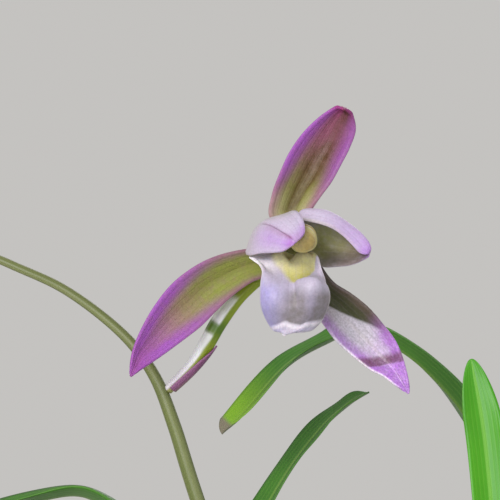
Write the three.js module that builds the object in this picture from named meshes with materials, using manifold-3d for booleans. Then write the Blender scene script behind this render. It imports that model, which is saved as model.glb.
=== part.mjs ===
// Potted cymbidium ensifolium: a sword-leaved orchid in a plain clay pot, one flower open on its stem.
// Millimetres, +Z up, +X to the viewer's right, +Y away from the viewer.
// The origin is the centre of the pot's foot, on the surface that the pot stands on.
import * as THREE from 'three';
import { mergeVertices } from 'three/addons/utils/BufferGeometryUtils.js';
import Module from 'manifold-3d';

// Clearance between pieces that touch on the real plant
const GAP = 0.3;

// The pot: a tapered clay pot with a rolled rim and four drain holes beside the middle of its foot
const POT = {
  height: 150,
  footRadius: 50,
  shoulderRadius: 68,
  rimRadius: 73,
  rimHeight: 18,
  innerTopRadius: 66,
  innerFloorRadius: 45.5,
  floor: 8,
  bevel: 2,
  innerBevel: 1.5,
  sides: 40,
};
const DRAIN = { count: 4, radius: 5, circle: 27, sides: 16 };

// The planting mix: chips of bark up to the hollow of the rim, a little higher in the middle
const MIX = {
  level: 138,
  mound: 3,
  chip: 1.5,
  edgeChip: 0.3,
  edgeDrop: 2,
  rings: [63.5, 56.5, 48.5, 40.5, 32.5, 24.5, 16.5, 8.5],
  seed: 11,
};

// A pseudobulb: half sizes along the fan of its leaves, across it and upwards
const BULB = { along: 7.5, across: 6.2, up: 12, above: 3, sides: 12, rings: 8 };

// A leaf blade: folded like a V at its foot, nearly flat in the middle. Reaches and the taper to its tip
// are shares of its length, widths are shares of its full width, and stations stand closer near the tip.
const LEAF = {
  thickness: 0.8,
  stations: 18,
  stationBias: 1.35,
  footFold: 60,
  bladeFold: 20,
  foldReach: 0.35,
  footWidth: 0.5,
  footReach: 0.4,
  taper: 0.4,
  tipWidth: 0.07,
  archParts: 9,
  archBias: 1.4,
};

// Floral organs: thickness of sepals, petals and lip, and the steps of their faces
const ORGAN = { thickness: 0.7, along: 14, across: 6 };
const LIP_STEPS = { along: 20, across: 12 };
const SPREAD_PETAL_STEPS = { along: 14, across: 9 };

// Where the open flower's centre is
const FLOWER = new THREE.Vector3(-21.5, -10, 385);

// Colour and roughness of each kind of piece
const FINISH = {
  clay: ['#a5603f', 0.8],
  bark: ['#5b4636', 0.95],
  bulb: ['#7d8a45', 0.55],
  leaf: ['#3f7a26', 0.45],
  stem: ['#6d7642', 0.5],
  ovary: ['#7c9a38', 0.4],
  sepal: ['#b79cc0', 0.5],
  petal: ['#dccbe6', 0.5],
  lip: ['#e4dfee', 0.5],
  column: ['#c9b866', 0.45],
  anther: ['#d8cc86', 0.45],
  bract: ['#a06a9c', 0.5],
  bud: ['#9aa35c', 0.5],
};

// The six growths: foot of each pseudobulb, the fan of its leaves, and each leaf.
// A leaf stands at an offset along the fan. It has a way of its own, or a lean, a droop and a length.
const GROWTHS = [
  {
    at: [-44, 20],
    fan: 75,
    leaves: [
      { offset: 0, toward: 150, lean: 24, droop: 122, length: 270, width: 11, swing: 8 },
      {
        offset: 5.8,
        toward: 28,
        width: 9,
        way: [
          [-46, 35, 185], [-49, 45, 225], [-50, 55, 265], [-42, 66, 304], [-25.3, 74, 334.2],
          [-16.3, 76, 347], [-9.4, 77.5, 353.4], [-5.4, 78, 355.6],
        ],
      },
      { offset: -5.8, toward: 196, lean: 16, droop: 120, length: 330, width: 12, swing: -14 },
    ],
  },
  {
    at: [-12, -22],
    fan: 190,
    leaves: [
      {
        offset: -5.8,
        toward: 183,
        width: 9,
        way: [
          [-10, -22, 190], [-14, -21, 235], [-20, -21, 282], [-33, -21, 315.2], [-53.5, -22, 338.5],
          [-68.3, -23, 340.7], [-100, -26, 327.6], [-128, -30, 298], [-146, -33, 260],
        ],
      },
      { offset: 5.8, toward: 205, lean: 20, droop: 122, length: 310, width: 12, swing: -10 },
      { offset: 1.8, toward: 252, lean: 13, droop: 112, length: 290, width: 11, swing: 8 },
    ],
  },
  {
    at: [26, 8],
    fan: 20,
    leaves: [
      {
        offset: -5.8,
        toward: 92,
        width: 7.6,
        taper: 0.13,
        way: [[19.8, 8, 200], [18.8, 12, 260], [17.2, 16, 310], [14.6, 18.5, 346], [11.8, 20, 364.4]],
      },
      { offset: 5.8, toward: 18, lean: 15, droop: 118, length: 350, width: 13, swing: 8 },
      {
        offset: -0.5,
        toward: 208,
        width: 8.4,
        taper: 0.03,
        way: [
          [26.5, 9, 185], [28, 13, 225], [29, 21, 268], [27.5, 31, 305], [22, 42, 334],
          [13.5, 50, 351], [5, 55.5, 361.2], [-3, 58.5, 366.8], [-9.5, 59.6, 368.4], [-13.9, 59, 366.8],
          [-22.4, 58, 361.9], [-31.3, 57, 352.2], [-35.6, 56.5, 348.2],
        ],
      },
    ],
  },
  {
    at: [0, 38],
    fan: 80,
    leaves: [
      { offset: 5.8, toward: 98, lean: 20, droop: 118, length: 300, width: 12, swing: 10 },
      { offset: -5.8, toward: 38, lean: 26, droop: 124, length: 270, width: 11, swing: 0 },
      { offset: 1.8, toward: 70, lean: 13, droop: 122, length: 250, width: 10, swing: -6 },
    ],
  },
  {
    at: [20, -36],
    fan: 290,
    leaves: [
      { offset: 5.8, toward: 282, lean: 18, droop: 120, length: 290, width: 12, swing: -12 },
      { offset: -5.8, toward: 335, lean: 15, droop: 114, length: 310, width: 12, swing: 10 },
      { offset: 1.8, toward: 308, lean: 10, droop: 110, length: 270, width: 11, swing: 4 },
      { offset: -2, toward: 262, lean: 14, droop: 116, length: 250, width: 9, swing: -10 },
    ],
  },
  {
    at: [-33, -42],
    fan: 150,
    leaves: [
      { offset: 5.8, toward: 208, lean: 22, droop: 124, length: 280, width: 12, swing: -8 },
      { offset: -5.8, toward: 246, lean: 16, droop: 118, length: 270, width: 11, swing: -6 },
      { offset: 0, toward: 226, lean: 8, droop: 82, length: 190, width: 10, swing: 6 },
    ],
  },
];

// The flower stem: [x, y, z, radius] from below the planting mix to its tip beside the last bud
const SCAPE = [
  [0, 3, 118, 2.2],
  [-2, 3, 160, 2.1],
  [-7, 2, 210, 1.9],
  [-16, 1, 260, 1.7],
  [-28, 0, 305, 1.5],
  [-39.6, 0, 339.2, 1.35],
  [-44, 0, 353.2, 1.25],
  [-47.7, 0, 362.3, 1.1],
  [-53.5, 0, 369.8, 0.95],
  [-63.5, 0, 377.5, 0.85],
  [-73.9, 0, 382.4, 0.8],
  [-88, 1, 388.5, 0.75],
  [-101, 2, 397, 0.7],
  [-110, 3, 408, 0.65],
];

// Clasping sheaths on the lower stem: where each starts and ends, as shares of the stem's points,
// and how far they stand out; the stem's foot ends in the planting mix at the last share
const STEM_SHEATHS = [[0.09, 0.17], [0.2, 0.27], [0.305, 0.365]];
const SHEATH_THICKNESS = 0.6;
const STEM_FOOT = 0.14;

// Stalk and ovary of the open flower: [x, y, z, radius] from the stem to the back of the flower
const OVARY = [
  [-23.1, 10.0, -25.1, 0.85],
  [-19.6, 9.0, -21.6, 1.1],
  [-16.7, 8.6, -17.6, 1.4],
  [-14.2, 8.4, -13.2, 1.5],
  [-10.8, 8.2, -8.6, 1.4],
  [-7.0, 8.2, -5.2, 1.2],
  [-3.4, 8.0, -1.8, 1.2],
  [-0.8, 7.0, 0.2, 1.6],
  [0.0, 5.6, 0.8, 2.4],
  [0.2, 4.4, 0.9, 2.6],
];
const OVARY_RIB = 0.04;

// The bract that clasps the lower side of the flower's stalk: its reach as shares of the stalk's points,
// how far round the stalk it clasps, the side it lies on, and how far its tip stands off
const BRACT = {
  start: 0.02,
  end: 0.27,
  clasp: 105,
  outward: [0.75, 0, -0.66],
  flare: 0.35,
  thickness: 0.6,
  along: 9,
  across: 8,
  tipBias: 2.2,
  tipWidth: 0.02,
};

// Sepals: rails along the left margin, the midrib and the right margin
const DORSAL_SEPAL = [
  [[-2.2, 5.0, 3.4], [-0.4, 5.4, 4.1], [1.6, 5.0, 3.7]],
  [[-5.0, 3.8, 6.1], [-1.4, 5.4, 6.5], [2.3, 3.8, 6.5]],
  [[-4.5, 3.2, 10.1], [0, 5.8, 10.1], [4.1, 3.2, 9.4]],
  [[-3.2, 3.0, 13.7], [1.6, 6.0, 13.1], [6.3, 3.2, 12.4]],
  [[-1.4, 3.0, 17.6], [3.4, 6.0, 16.6], [8.1, 3.2, 15.7]],
  [[1.1, 3.2, 21.2], [5.2, 5.8, 19.8], [9.5, 3.4, 18.4]],
  [[4.1, 3.0, 24.1], [6.8, 5.0, 22.9], [10.6, 3.0, 21.6]],
  [[6.6, 2.4, 25.7], [8.4, 3.4, 25.4], [10.1, 2.4, 24.3]],
  [[7.6, 1.2, 25.8], [8.3, 0.8, 25.3], [8.9, 1.2, 25.3]],
];
const LEFT_SEPAL = [
  [[-3.3, 5.2, 0.2], [-2.7, 5.6, -1.6], [-1.2, 5.2, -2.6]],
  [[-6.3, 4.2, 0.4], [-5.6, 5.2, -2.2], [-5.2, 4.4, -4.7]],
  [[-10.3, 2.8, 0.0], [-9.2, 4.4, -3.1], [-8.3, 3.0, -5.9]],
  [[-14.6, 1.6, -1.1], [-13.0, 3.8, -4.9], [-11.7, 1.8, -8.3]],
  [[-18.4, 0.8, -2.9], [-16.4, 3.2, -7.0], [-14.6, 1.0, -11.0]],
  [[-22.0, 0.2, -6.3], [-19.4, 2.4, -9.9], [-17.3, 0.4, -13.7]],
  [[-25.2, -0.4, -9.7], [-22.9, 1.6, -13.1], [-20.5, 0.0, -16.2]],
  [[-27.7, -1.0, -13.5], [-25.9, 0.6, -16.4], [-23.9, -0.6, -18.7]],
  [[-29.5, -1.8, -17.8], [-28.3, -0.8, -19.1], [-26.8, -1.4, -20.7]],
  [[-30.1, -2.6, -21.8], [-29.9, -2.6, -22.7], [-29.3, -2.6, -22.3]],
];
const RIGHT_SEPAL = [
  [[1.0, 5.2, -2.6], [2.4, 5.6, -1.9], [3.4, 5.2, -0.6]],
  [[0.5, 4.4, -6.8], [2.7, 5.6, -4.9], [4.7, 4.2, -3.2]],
  [[2.0, 4.0, -10.1], [4.5, 6.0, -7.9], [6.8, 4.0, -5.9]],
  [[4.5, 4.0, -13.1], [7.2, 6.4, -10.6], [9.9, 4.0, -7.9]],
  [[7.0, 4.6, -16.4], [9.9, 7.0, -13.5], [13.0, 4.4, -10.4]],
  [[9.9, 5.2, -19.1], [12.8, 7.4, -16.4], [15.7, 5.0, -13.5]],
  [[13.0, 5.6, -21.6], [15.3, 7.4, -19.1], [18.0, 5.4, -16.6]],
  [[15.7, 5.6, -23.0], [17.6, 7.0, -21.6], [19.4, 5.6, -20.0]],
  [[18.0, 5.4, -24.7], [19.1, 6.2, -23.9], [20.2, 5.4, -23.2]],
  [[19.8, 5.2, -25.7], [20.3, 5.2, -26.1], [20.5, 5.2, -25.5]],
];

// The left petal folds forward over the column like a hood: lower margin, midrib, upper margin
const LEFT_PETAL = [
  [[-2.2, 3.6, -0.2], [-2.4, 3.8, 1], [-2, 3.6, 2.4]],
  [[-5.8, 2.6, -0.7], [-5, 3.6, 2.5], [-2.8, 2.8, 4.8]],
  [[-9, -0.2, -0.7], [-7.3, 1.4, 3.5], [-3.1, 0.8, 5.8]],
  [[-8.5, -3.5, -1], [-6.4, -2.6, 4.5], [-1.8, -2.2, 6.1]],
  [[-6.6, -6.7, -0.6], [-4.6, -6.6, 4.1], [-0.4, -5.2, 7]],
  [[-4.5, -9.4, -0.5], [-2.9, -9.8, 3.1], [0.7, -8.2, 5.9]],
  [[-2.8, -11.2, -0.3], [-1.6, -11.6, 2.3], [1.2, -10.2, 4.2]],
  [[-1.5, -12.2, 0.4], [-0.8, -12.6, 1.7], [1.1, -11.6, 2.9]],
  [[-0.7, -12.7, 1.1], [-0.3, -12.9, 1.4], [0.3, -12.5, 1.9]],
];

// The right petal spreads sideways, its upper margin rolled forward: lower margin, floor, crest, upper margin
const RIGHT_PETAL = [
  [[2.9, 3.8, -0.4], [3.2, 4.2, 0.8], [3, 3.8, 2.2], [2.6, 3.2, 3]],
  [[3.6, 3.2, -2.6], [3.9, 5.2, 1.1], [0.9, 2, 6.5], [0.4, -0.4, 5.2]],
  [[5.1, 2.4, -3.1], [5.4, 6, 1.1], [4.3, 1, 7], [3.6, -2, 4.8]],
  [[7.1, 1.8, -3], [7.2, 5.8, 0.9], [6.9, 0.4, 6.1], [6.2, -2.8, 3.9]],
  [[9.1, 1, -2.8], [9.2, 4.6, 0.5], [9.2, -0.2, 4.6], [8.2, -3, 2.5]],
  [[10.8, 0, -2.3], [10.9, 2.8, 0], [11.1, -1, 3.1], [9.8, -3.1, 0.9]],
  [[11.9, -1, -1.7], [12.1, 0.8, -0.4], [12.4, -1.8, 1.6], [11, -3.1, -0.4]],
  [[12.4, -1.6, -1.3], [12.6, -0.7, -0.6], [12.9, -2.1, 0.5], [12, -2.9, -0.8]],
  [[12.7, -2, -1], [12.8, -1.8, -0.7], [12.9, -2.1, -0.3], [12.6, -2.4, -0.8]],
];

// The lip: left margin, wall and ridge, the groove, right ridge, wall and margin, from its foot down
const LIP = [
  [
    [-1.8, 3.2, -1], [-1.5, 3.4, -1.3], [-0.9, 3.5, -1.1], [-0.1, 3.7, -1.5],
    [0.7, 3.5, -1.1], [1.2, 3.4, -1.3], [1.6, 3.2, -1],
  ],
  [
    [-5, 0.8, -0.2], [-4.2, 0.4, -1.2], [-2.8, -0.4, -0.4], [-1.4, 0.8, -2.3],
    [0.4, -0.4, -0.5], [2.2, 0.2, -0.8], [2.9, -0.2, -0.5],
  ],
  [
    [-7.5, -1.2, -0.5], [-5.6, -2, -1.8], [-3, -2.5, -0.9], [-1.4, -1.6, -2.1],
    [0.9, -2.5, -0.9], [2.8, -2.2, -1.5], [3.7, -2.8, -1.2],
  ],
  [
    [-7.2, -3, -2], [-5.4, -4.2, -3.4], [-2.6, -4.6, -2.6], [-1, -3.9, -3.5],
    [1.1, -4.6, -2.6], [3, -4.2, -3.4], [4.2, -4.8, -3.1],
  ],
  [
    [-6.4, -6, -3.7], [-5, -7, -4.6], [-2.6, -7.2, -5.2], [-0.6, -6.2, -5.8],
    [1.2, -6.8, -4.6], [3, -6.4, -4.7], [4.8, -6.2, -4.9],
  ],
  [
    [-6.6, -7.4, -5.8], [-5.1, -8.6, -6.2], [-3, -8.8, -6.6], [-0.6, -7.4, -7],
    [1.5, -9.2, -5.4], [3.3, -9.2, -5.4], [5, -7.4, -6],
  ],
  [
    [-6.7, -7.8, -7.8], [-5.2, -9.2, -8], [-3.2, -9.5, -8.2], [-0.7, -8.2, -8.6],
    [1.8, -10.2, -7.2], [3.8, -9.8, -7.2], [5.6, -7.6, -7.7],
  ],
  [
    [-6.6, -7.2, -9.8], [-5.1, -8.8, -9.9], [-3.2, -9.4, -10], [-0.9, -8.6, -10.2],
    [1.8, -10.1, -9.4], [3.9, -9.4, -9.3], [5.6, -7.2, -9.4],
  ],
  [
    [-5.9, -5.8, -11.8], [-4.7, -7.6, -11.9], [-3, -8.5, -12], [-1.1, -8.3, -12.2],
    [1.5, -9, -11.6], [3.3, -8.2, -11.5], [4.8, -6.2, -11.6],
  ],
  [
    [-4.7, -5, -13.8], [-3.9, -6.5, -13.7], [-2.9, -7.4, -13.8], [-1.5, -7.5, -14.1],
    [0.8, -7.7, -13.5], [2.4, -7, -13.4], [3.9, -5.4, -13.1],
  ],
  [
    [-3.8, -5.2, -14.3], [-3.3, -6.3, -14.5], [-2.9, -7.1, -14.8], [-2.4, -7.5, -15.3],
    [-1.2, -7.4, -14.8], [0.7, -7.1, -14.7], [2.3, -6, -14.2],
  ],
];

// The column, the stout body in the middle of the flower, and the anther cap on its tip
const COLUMN = [
  [0.3, 3.8, 0.9, 1.4],
  [0.7, 1, 1.9, 1.75],
  [0.9, -2, 2.4, 2.05],
  [1, -4.6, 2.4, 2.3],
  [1.1, -6.2, 2.2, 2.35],
];
const ANTHER_CAP = [
  [1.1, -6.6, 2.1, 2.35],
  [1.1, -7.4, 1.9, 2.3],
  [1.1, -8.3, 1.6, 1.7],
  [1, -8.8, 1.4, 0.6],
];

// The buds past the open flower: where each stalk leaves the stem, as a share of the stem's points,
// where its bud ends, and the bud's half thickness
const BUDS = [
  { share: 0.805, tip: [-101, -12, 375], radius: 2.9 },
  { share: 0.888, tip: [-98, 4, 415], radius: 2.6 },
  { share: 0.954, tip: [-124, 6, 403], radius: 2.2 },
];

// Half thickness of a bud's stalk where it leaves the stem, and how far it sags
const STALK = 0.75;
const BUD_SAG = 1.2;

// Profile of a bud: shares of its length past the start of its stalk, with shares of the bud's half thickness
const BUD_STALK = [[0.2, 0.85], [0.38, 0.95]];
const BUD_SWELL = [[0.5, 0.75], [0.68, 1], [0.85, 0.7], [0.97, 0.18]];

const DEG = Math.PI / 180;
const UP = new THREE.Vector3(0, 0, 1);
const BACK = new THREE.Vector3(0, 1, 0);

const wasm = await Module();
wasm.setup();

// Seeded random numbers from 0 to 1, the same each time
function randomFrom(seed) {
  let state = seed;
  return () => {
    state = (state * 16807) % 2147483647;
    return state / 2147483647;
  };
}

// A geometry as a solid that can be joined and cut
function toSolid(geometry) {
  const bare = geometry.clone();
  bare.deleteAttribute('normal');
  bare.deleteAttribute('uv');
  const merged = mergeVertices(bare, 1e-4);
  return new wasm.Manifold(new wasm.Mesh({
    numProp: 3,
    vertProperties: Float32Array.from(merged.attributes.position.array),
    triVerts: Uint32Array.from(merged.index.array),
  }));
}

// A joined or cut solid as a geometry again
function toGeometry(solid) {
  const mesh = solid.getMesh();
  const geometry = new THREE.BufferGeometry();
  geometry.setAttribute('position', new THREE.BufferAttribute(Float32Array.from(mesh.vertProperties), 3));
  geometry.setIndex(Array.from(mesh.triVerts));
  return geometry;
}

// A geometry from a list of points and a list of triangles
function fromTriangles(points, triangles) {
  const geometry = new THREE.BufferGeometry().setFromPoints(points);
  geometry.setIndex(triangles.flat());
  return geometry;
}

// A smooth curve through points given as [x, y, z]
function curveThrough(points) {
  const through = points.map((p) => new THREE.Vector3(p[0], p[1], p[2]));
  return new THREE.CatmullRomCurve3(through, false, 'catmullrom', 0.5);
}

// A closed blade of even thickness round a grid of points; both faces are split along the same diagonals
function thickBlade(grid, thickness) {
  const rows = grid.length;
  const columns = grid[0].length;
  const at = (i, j) => grid[Math.min(Math.max(i, 0), rows - 1)][Math.min(Math.max(j, 0), columns - 1)];
  const points = [];
  for (const side of [0.5, -0.5]) {
    for (let i = 0; i < rows; i += 1) {
      for (let j = 0; j < columns; j += 1) {
        const along = at(i + 1, j).clone().sub(at(i - 1, j));
        const across = at(i, j + 1).clone().sub(at(i, j - 1));
        const normal = along.cross(across).normalize();
        points.push(at(i, j).clone().addScaledVector(normal, side * thickness));
      }
    }
  }
  const index = (i, j) => i * columns + j;
  const under = rows * columns;
  const triangles = [];
  for (let i = 0; i + 1 < rows; i += 1) {
    for (let j = 0; j + 1 < columns; j += 1) {
      const [a, b, c, d] = [index(i, j), index(i + 1, j), index(i + 1, j + 1), index(i, j + 1)];
      triangles.push([a, b, c], [a, c, d]);
      triangles.push([a + under, c + under, b + under], [a + under, d + under, c + under]);
    }
  }
  const rim = [];
  for (let i = 0; i < rows - 1; i += 1) rim.push(index(i, 0));
  for (let j = 0; j < columns - 1; j += 1) rim.push(index(rows - 1, j));
  for (let i = rows - 1; i > 0; i -= 1) rim.push(index(i, columns - 1));
  for (let j = columns - 1; j > 0; j -= 1) rim.push(index(0, j));
  rim.forEach((p, k) => {
    const q = rim[(k + 1) % rim.length];
    triangles.push([q, p, p + under], [q, p + under, q + under]);
  });
  return fromTriangles(points, triangles);
}

// A closed body through rings of points, each ring turning anticlockwise round the way along
function loft(rings) {
  const sides = rings[0].length;
  const last = (rings.length - 1) * sides;
  const points = rings.flat();
  const middle = (ring) => ring.reduce((sum, p) => sum.add(p), new THREE.Vector3()).divideScalar(sides);
  points.push(middle(rings[0]), middle(rings[rings.length - 1]));
  const [start, end] = [points.length - 2, points.length - 1];
  const triangles = [];
  for (let k = 0; k < sides; k += 1) {
    const next = (k + 1) % sides;
    triangles.push([start, next, k], [end, last + k, last + next]);
    for (let row = 0; row < last; row += sides) {
      triangles.push([row + k, row + next, row + sides + next]);
      triangles.push([row + k, row + sides + next, row + sides + k]);
    }
  }
  return fromTriangles(points, triangles);
}

// A round stem along points given as [x, y, z, radius]; start and end cut it short as shares of its way
function stem(points, { sides = 8, steps = 12, across = BACK, start = 0, end = 1, grow = 0, ribs = 0 } = {}) {
  const path = curveThrough(points);
  const thickness = curveThrough(points.map((p) => [p[3], 0, 0]));
  const rings = [];
  for (let i = 0; i <= steps; i += 1) {
    const t = start + (end - start) * (i / steps);
    const centre = path.getPoint(t);
    const along = path.getTangent(t);
    const side = across.clone().addScaledVector(along, -across.dot(along)).normalize();
    const other = along.clone().cross(side);
    const radius = thickness.getPoint(t).x + grow;
    const ring = [];
    for (let k = 0; k < sides; k += 1) {
      const angle = (2 * Math.PI * k) / sides;
      const r = radius * (1 + ribs * (k % 2 ? -1 : 1));
      const point = centre.clone().addScaledVector(side, r * Math.cos(angle));
      ring.push(point.addScaledVector(other, r * Math.sin(angle)));
    }
    rings.push(ring);
  }
  return loft(rings);
}

// A floral organ whose face runs smoothly through rails: each station lists a point on every rail,
// from the organ's foot to its tip, relative to the middle of the flower
function organ(stations, { along = ORGAN.along, across = ORGAN.across, thickness = ORGAN.thickness } = {}) {
  const rails = stations[0].map((_, j) => curveThrough(stations.map((station) => station[j])));
  const grid = [];
  for (let i = 0; i <= along; i += 1) {
    const station = rails.map((rail) => rail.getPoint(i / along));
    const crossing = new THREE.CatmullRomCurve3(station, false, 'catmullrom', 0.5);
    const row = [];
    for (let j = 0; j <= across; j += 1) {
      row.push(crossing.getPoint(j / across).add(FLOWER));
    }
    grid.push(row);
  }
  return thickBlade(grid, thickness);
}

// The clay pot, turned and then drilled for drainage
function pot() {
  const bodyTop = POT.height - POT.rimHeight;
  const profile = [
    [0, 0],
    [POT.footRadius - POT.bevel, 0],
    [POT.footRadius, POT.bevel],
    [POT.shoulderRadius, bodyTop],
    [POT.rimRadius - 0.5 * POT.bevel, bodyTop + 0.5 * POT.bevel],
    [POT.rimRadius, bodyTop + 1.5 * POT.bevel],
    [POT.rimRadius, POT.height - POT.bevel],
    [POT.rimRadius - POT.bevel, POT.height],
    [POT.innerTopRadius + POT.innerBevel, POT.height],
    [POT.innerTopRadius, POT.height - POT.innerBevel],
    [POT.innerFloorRadius, POT.floor],
    [0, POT.floor],
  ].map(([r, z]) => new THREE.Vector2(r, z));
  const turned = new THREE.LatheGeometry(profile, POT.sides).rotateX(Math.PI / 2);
  let body = toSolid(turned);
  for (let k = 0; k < DRAIN.count; k += 1) {
    const angle = (2 * Math.PI * (k + 0.5)) / DRAIN.count;
    const drill = new THREE.CylinderGeometry(DRAIN.radius, DRAIN.radius, 3 * POT.floor, DRAIN.sides);
    drill.rotateX(Math.PI / 2);
    drill.translate(DRAIN.circle * Math.cos(angle), DRAIN.circle * Math.sin(angle), 0);
    body = body.subtract(toSolid(drill));
  }
  return toGeometry(body);
}

// Inner radius of the pot at a height
function potBore(z) {
  const share = (z - POT.floor) / (POT.height - POT.innerBevel - POT.floor);
  return POT.innerFloorRadius + share * (POT.innerTopRadius - POT.innerFloorRadius);
}

// Height of the planting mix at a distance from the middle, without its chips
function mixLevel(r) {
  return MIX.level + MIX.mound * Math.cos((Math.PI / 2) * (r / POT.innerTopRadius));
}

// The planting mix fills the pot; its top is rough with chips,
// and each bulb and the stem stand in plain holes
function plantingMix(buried) {
  const random = randomFrom(MIX.seed);
  const ringAt = (r, z, rough) => {
    const ring = [];
    for (let k = 0; k < POT.sides; k += 1) {
      const angle = (2 * Math.PI * k) / POT.sides;
      const chip = rough * (2 * random() - 1);
      ring.push(new THREE.Vector3(r * Math.cos(angle), r * Math.sin(angle), z + chip));
    }
    return ring;
  };
  const low = POT.floor + GAP;
  const edge = MIX.level - MIX.edgeDrop;
  const rings = [ringAt(potBore(low) - 2 * GAP, low, 0), ringAt(potBore(edge) - 2 * GAP, edge, 0)];
  for (const r of MIX.rings) {
    rings.push(ringAt(r, mixLevel(r), r === MIX.rings[0] ? MIX.edgeChip : MIX.chip));
  }
  let mix = toSolid(loft(rings));
  for (const shape of buried) {
    mix = mix.subtract(toSolid(shape));
  }
  return toGeometry(mix);
}

// One pseudobulb, an upright ovoid flattened across its fan of leaves; grow widens it for its hole
function pseudobulb([x, y], fan, grow = 0) {
  const rings = [];
  for (let i = 0; i < BULB.rings; i += 1) {
    const turn = Math.PI * ((i + 0.5) / BULB.rings);
    const ring = [];
    for (let k = 0; k < BULB.sides; k += 1) {
      const angle = (2 * Math.PI * k) / BULB.sides;
      const along = (BULB.along + grow) * Math.sin(turn) * Math.cos(angle);
      const across = (BULB.across + grow) * Math.sin(turn) * Math.sin(angle);
      ring.push(new THREE.Vector3(
        x + along * Math.cos(fan * DEG) - across * Math.sin(fan * DEG),
        y + along * Math.sin(fan * DEG) + across * Math.cos(fan * DEG),
        MIX.level + BULB.above - (BULB.up + grow) * Math.cos(turn),
      ));
    }
    rings.push(ring);
  }
  return loft(rings);
}

// Height of a pseudobulb's surface at a place, or of the planting mix beside it
function bulbTop({ at, fan }, x, y) {
  const along = ((x - at[0]) * Math.cos(fan * DEG) + (y - at[1]) * Math.sin(fan * DEG)) / BULB.along;
  const across = ((y - at[1]) * Math.cos(fan * DEG) - (x - at[0]) * Math.sin(fan * DEG)) / BULB.across;
  return MIX.level + BULB.above + BULB.up * Math.sqrt(Math.max(0, 1 - along ** 2 - across ** 2));
}

// Way of a leaf that rises from its foot and arches over: leans are from upright, at the foot and at the tip
function archingWay(foot, { toward, lean, droop, length, swing }) {
  const way = [foot];
  const step = length / LEAF.archParts;
  let [x, y, z] = foot;
  for (let i = 0; i < LEAF.archParts; i += 1) {
    const t = (i + 0.5) / LEAF.archParts;
    const angle = (lean + (droop - lean) * t ** LEAF.archBias) * DEG;
    const heading = (toward + swing * t * t) * DEG;
    x += step * Math.sin(angle) * Math.cos(heading);
    y += step * Math.sin(angle) * Math.sin(heading);
    z += step * Math.cos(angle);
    way.push([x, y, z]);
  }
  return way;
}

// Share of its full half width that a leaf has along its way
function leafWidth(t, taper) {
  const foot = LEAF.footWidth + (1 - LEAF.footWidth) * Math.min(1, t / LEAF.footReach) ** 0.8;
  const left = Math.min(1, (1 - t) / taper);
  const tip = 0.75 * Math.sqrt(1 - (1 - left) ** 2) + 0.25 * left;
  return Math.max(foot * tip, LEAF.tipWidth);
}

// One leaf: a keeled blade along its way, its lower face turned to the side that it arches over
function leaf(way, { toward, width, taper = LEAF.taper }) {
  const path = curveThrough(way);
  const turned = (toward + 90) * DEG;
  const level = new THREE.Vector3(Math.cos(turned), Math.sin(turned), 0);
  const grid = [];
  for (let i = 0; i <= LEAF.stations; i += 1) {
    const t = 1 - (1 - i / LEAF.stations) ** LEAF.stationBias;
    const along = path.getTangent(t);
    const side = level.clone().addScaledVector(along, -level.dot(along)).normalize();
    const face = along.clone().cross(side);
    const foot = (1 - Math.min(1, t / LEAF.foldReach)) ** 1.5;
    const fold = (LEAF.bladeFold + (LEAF.footFold - LEAF.bladeFold) * foot) * DEG;
    const half = (width / 2) * leafWidth(t, taper);
    grid.push([-1, 0, 1].map((edge) => path.getPoint(t)
      .addScaledVector(side, edge * half * Math.cos(fold))
      .addScaledVector(face, Math.abs(edge) * half * Math.sin(fold))));
  }
  return thickBlade(grid, LEAF.thickness);
}

// Foot of a leaf on its pseudobulb, just high enough that its keel and its folded margins clear the bulb
function leafFoot(growth, { offset, width, toward, lean = 0 }) {
  const x = growth.at[0] + offset * Math.cos(growth.fan * DEG);
  const y = growth.at[1] + offset * Math.sin(growth.fan * DEG);
  const half = (width / 2) * LEAF.footWidth;
  let lowest = 0;
  for (const share of [-1, -0.5, 0, 0.5, 1]) {
    const inward = -Math.abs(share) * half * Math.sin(LEAF.footFold * DEG);
    const beside = share * half * Math.cos(LEAF.footFold * DEG);
    const px = x + inward * Math.cos(toward * DEG) - beside * Math.sin(toward * DEG);
    const py = y + inward * Math.sin(toward * DEG) + beside * Math.cos(toward * DEG);
    lowest = Math.max(lowest, bulbTop(growth, px, py) + inward * Math.sin(lean * DEG));
  }
  return [x, y, lowest + 2 * GAP];
}

// The stem with its sheaths grown on
function scape() {
  let body = toSolid(stem(SCAPE, { steps: 40 }));
  for (const [start, end] of STEM_SHEATHS) {
    body = body.add(toSolid(stem(SCAPE, { start, end, steps: 3, grow: SHEATH_THICKNESS })));
  }
  return toGeometry(body);
}

// Points given relative to the flower, moved to where the flower is
function onFlower(points) {
  return points.map(([x, y, z, ...rest]) => [x + FLOWER.x, y + FLOWER.y, z + FLOWER.z, ...rest]);
}

// The pointed bract round the foot of the open flower's stalk
function claspingBract() {
  const points = onFlower(OVARY);
  const path = curveThrough(points);
  const stalk = curveThrough(points.map((p) => [p[3], 0, 0]));
  const outward = new THREE.Vector3(...BRACT.outward);
  const grid = [];
  for (let i = 0; i <= BRACT.along; i += 1) {
    const t = i / BRACT.along;
    const share = BRACT.start + (BRACT.end - BRACT.start) * t;
    const along = path.getTangent(share);
    const out = outward.clone().addScaledVector(along, -outward.dot(along)).normalize();
    const side = along.clone().cross(out);
    const skin = stalk.getPoint(share).x * (1 + OVARY_RIB);
    const radius = skin + GAP + BRACT.thickness / 2 + BRACT.flare * t * t;
    const clasp = BRACT.clasp * DEG * Math.max(1 - t ** BRACT.tipBias, BRACT.tipWidth) ** 0.75;
    const row = [];
    for (let j = 0; j <= BRACT.across; j += 1) {
      const angle = clasp * ((2 * j) / BRACT.across - 1);
      const point = path.getPoint(share).addScaledVector(out, radius * Math.cos(angle));
      row.push(point.addScaledVector(side, radius * Math.sin(angle)));
    }
    grid.push(row);
  }
  return thickBlade(grid, BRACT.thickness);
}

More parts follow.
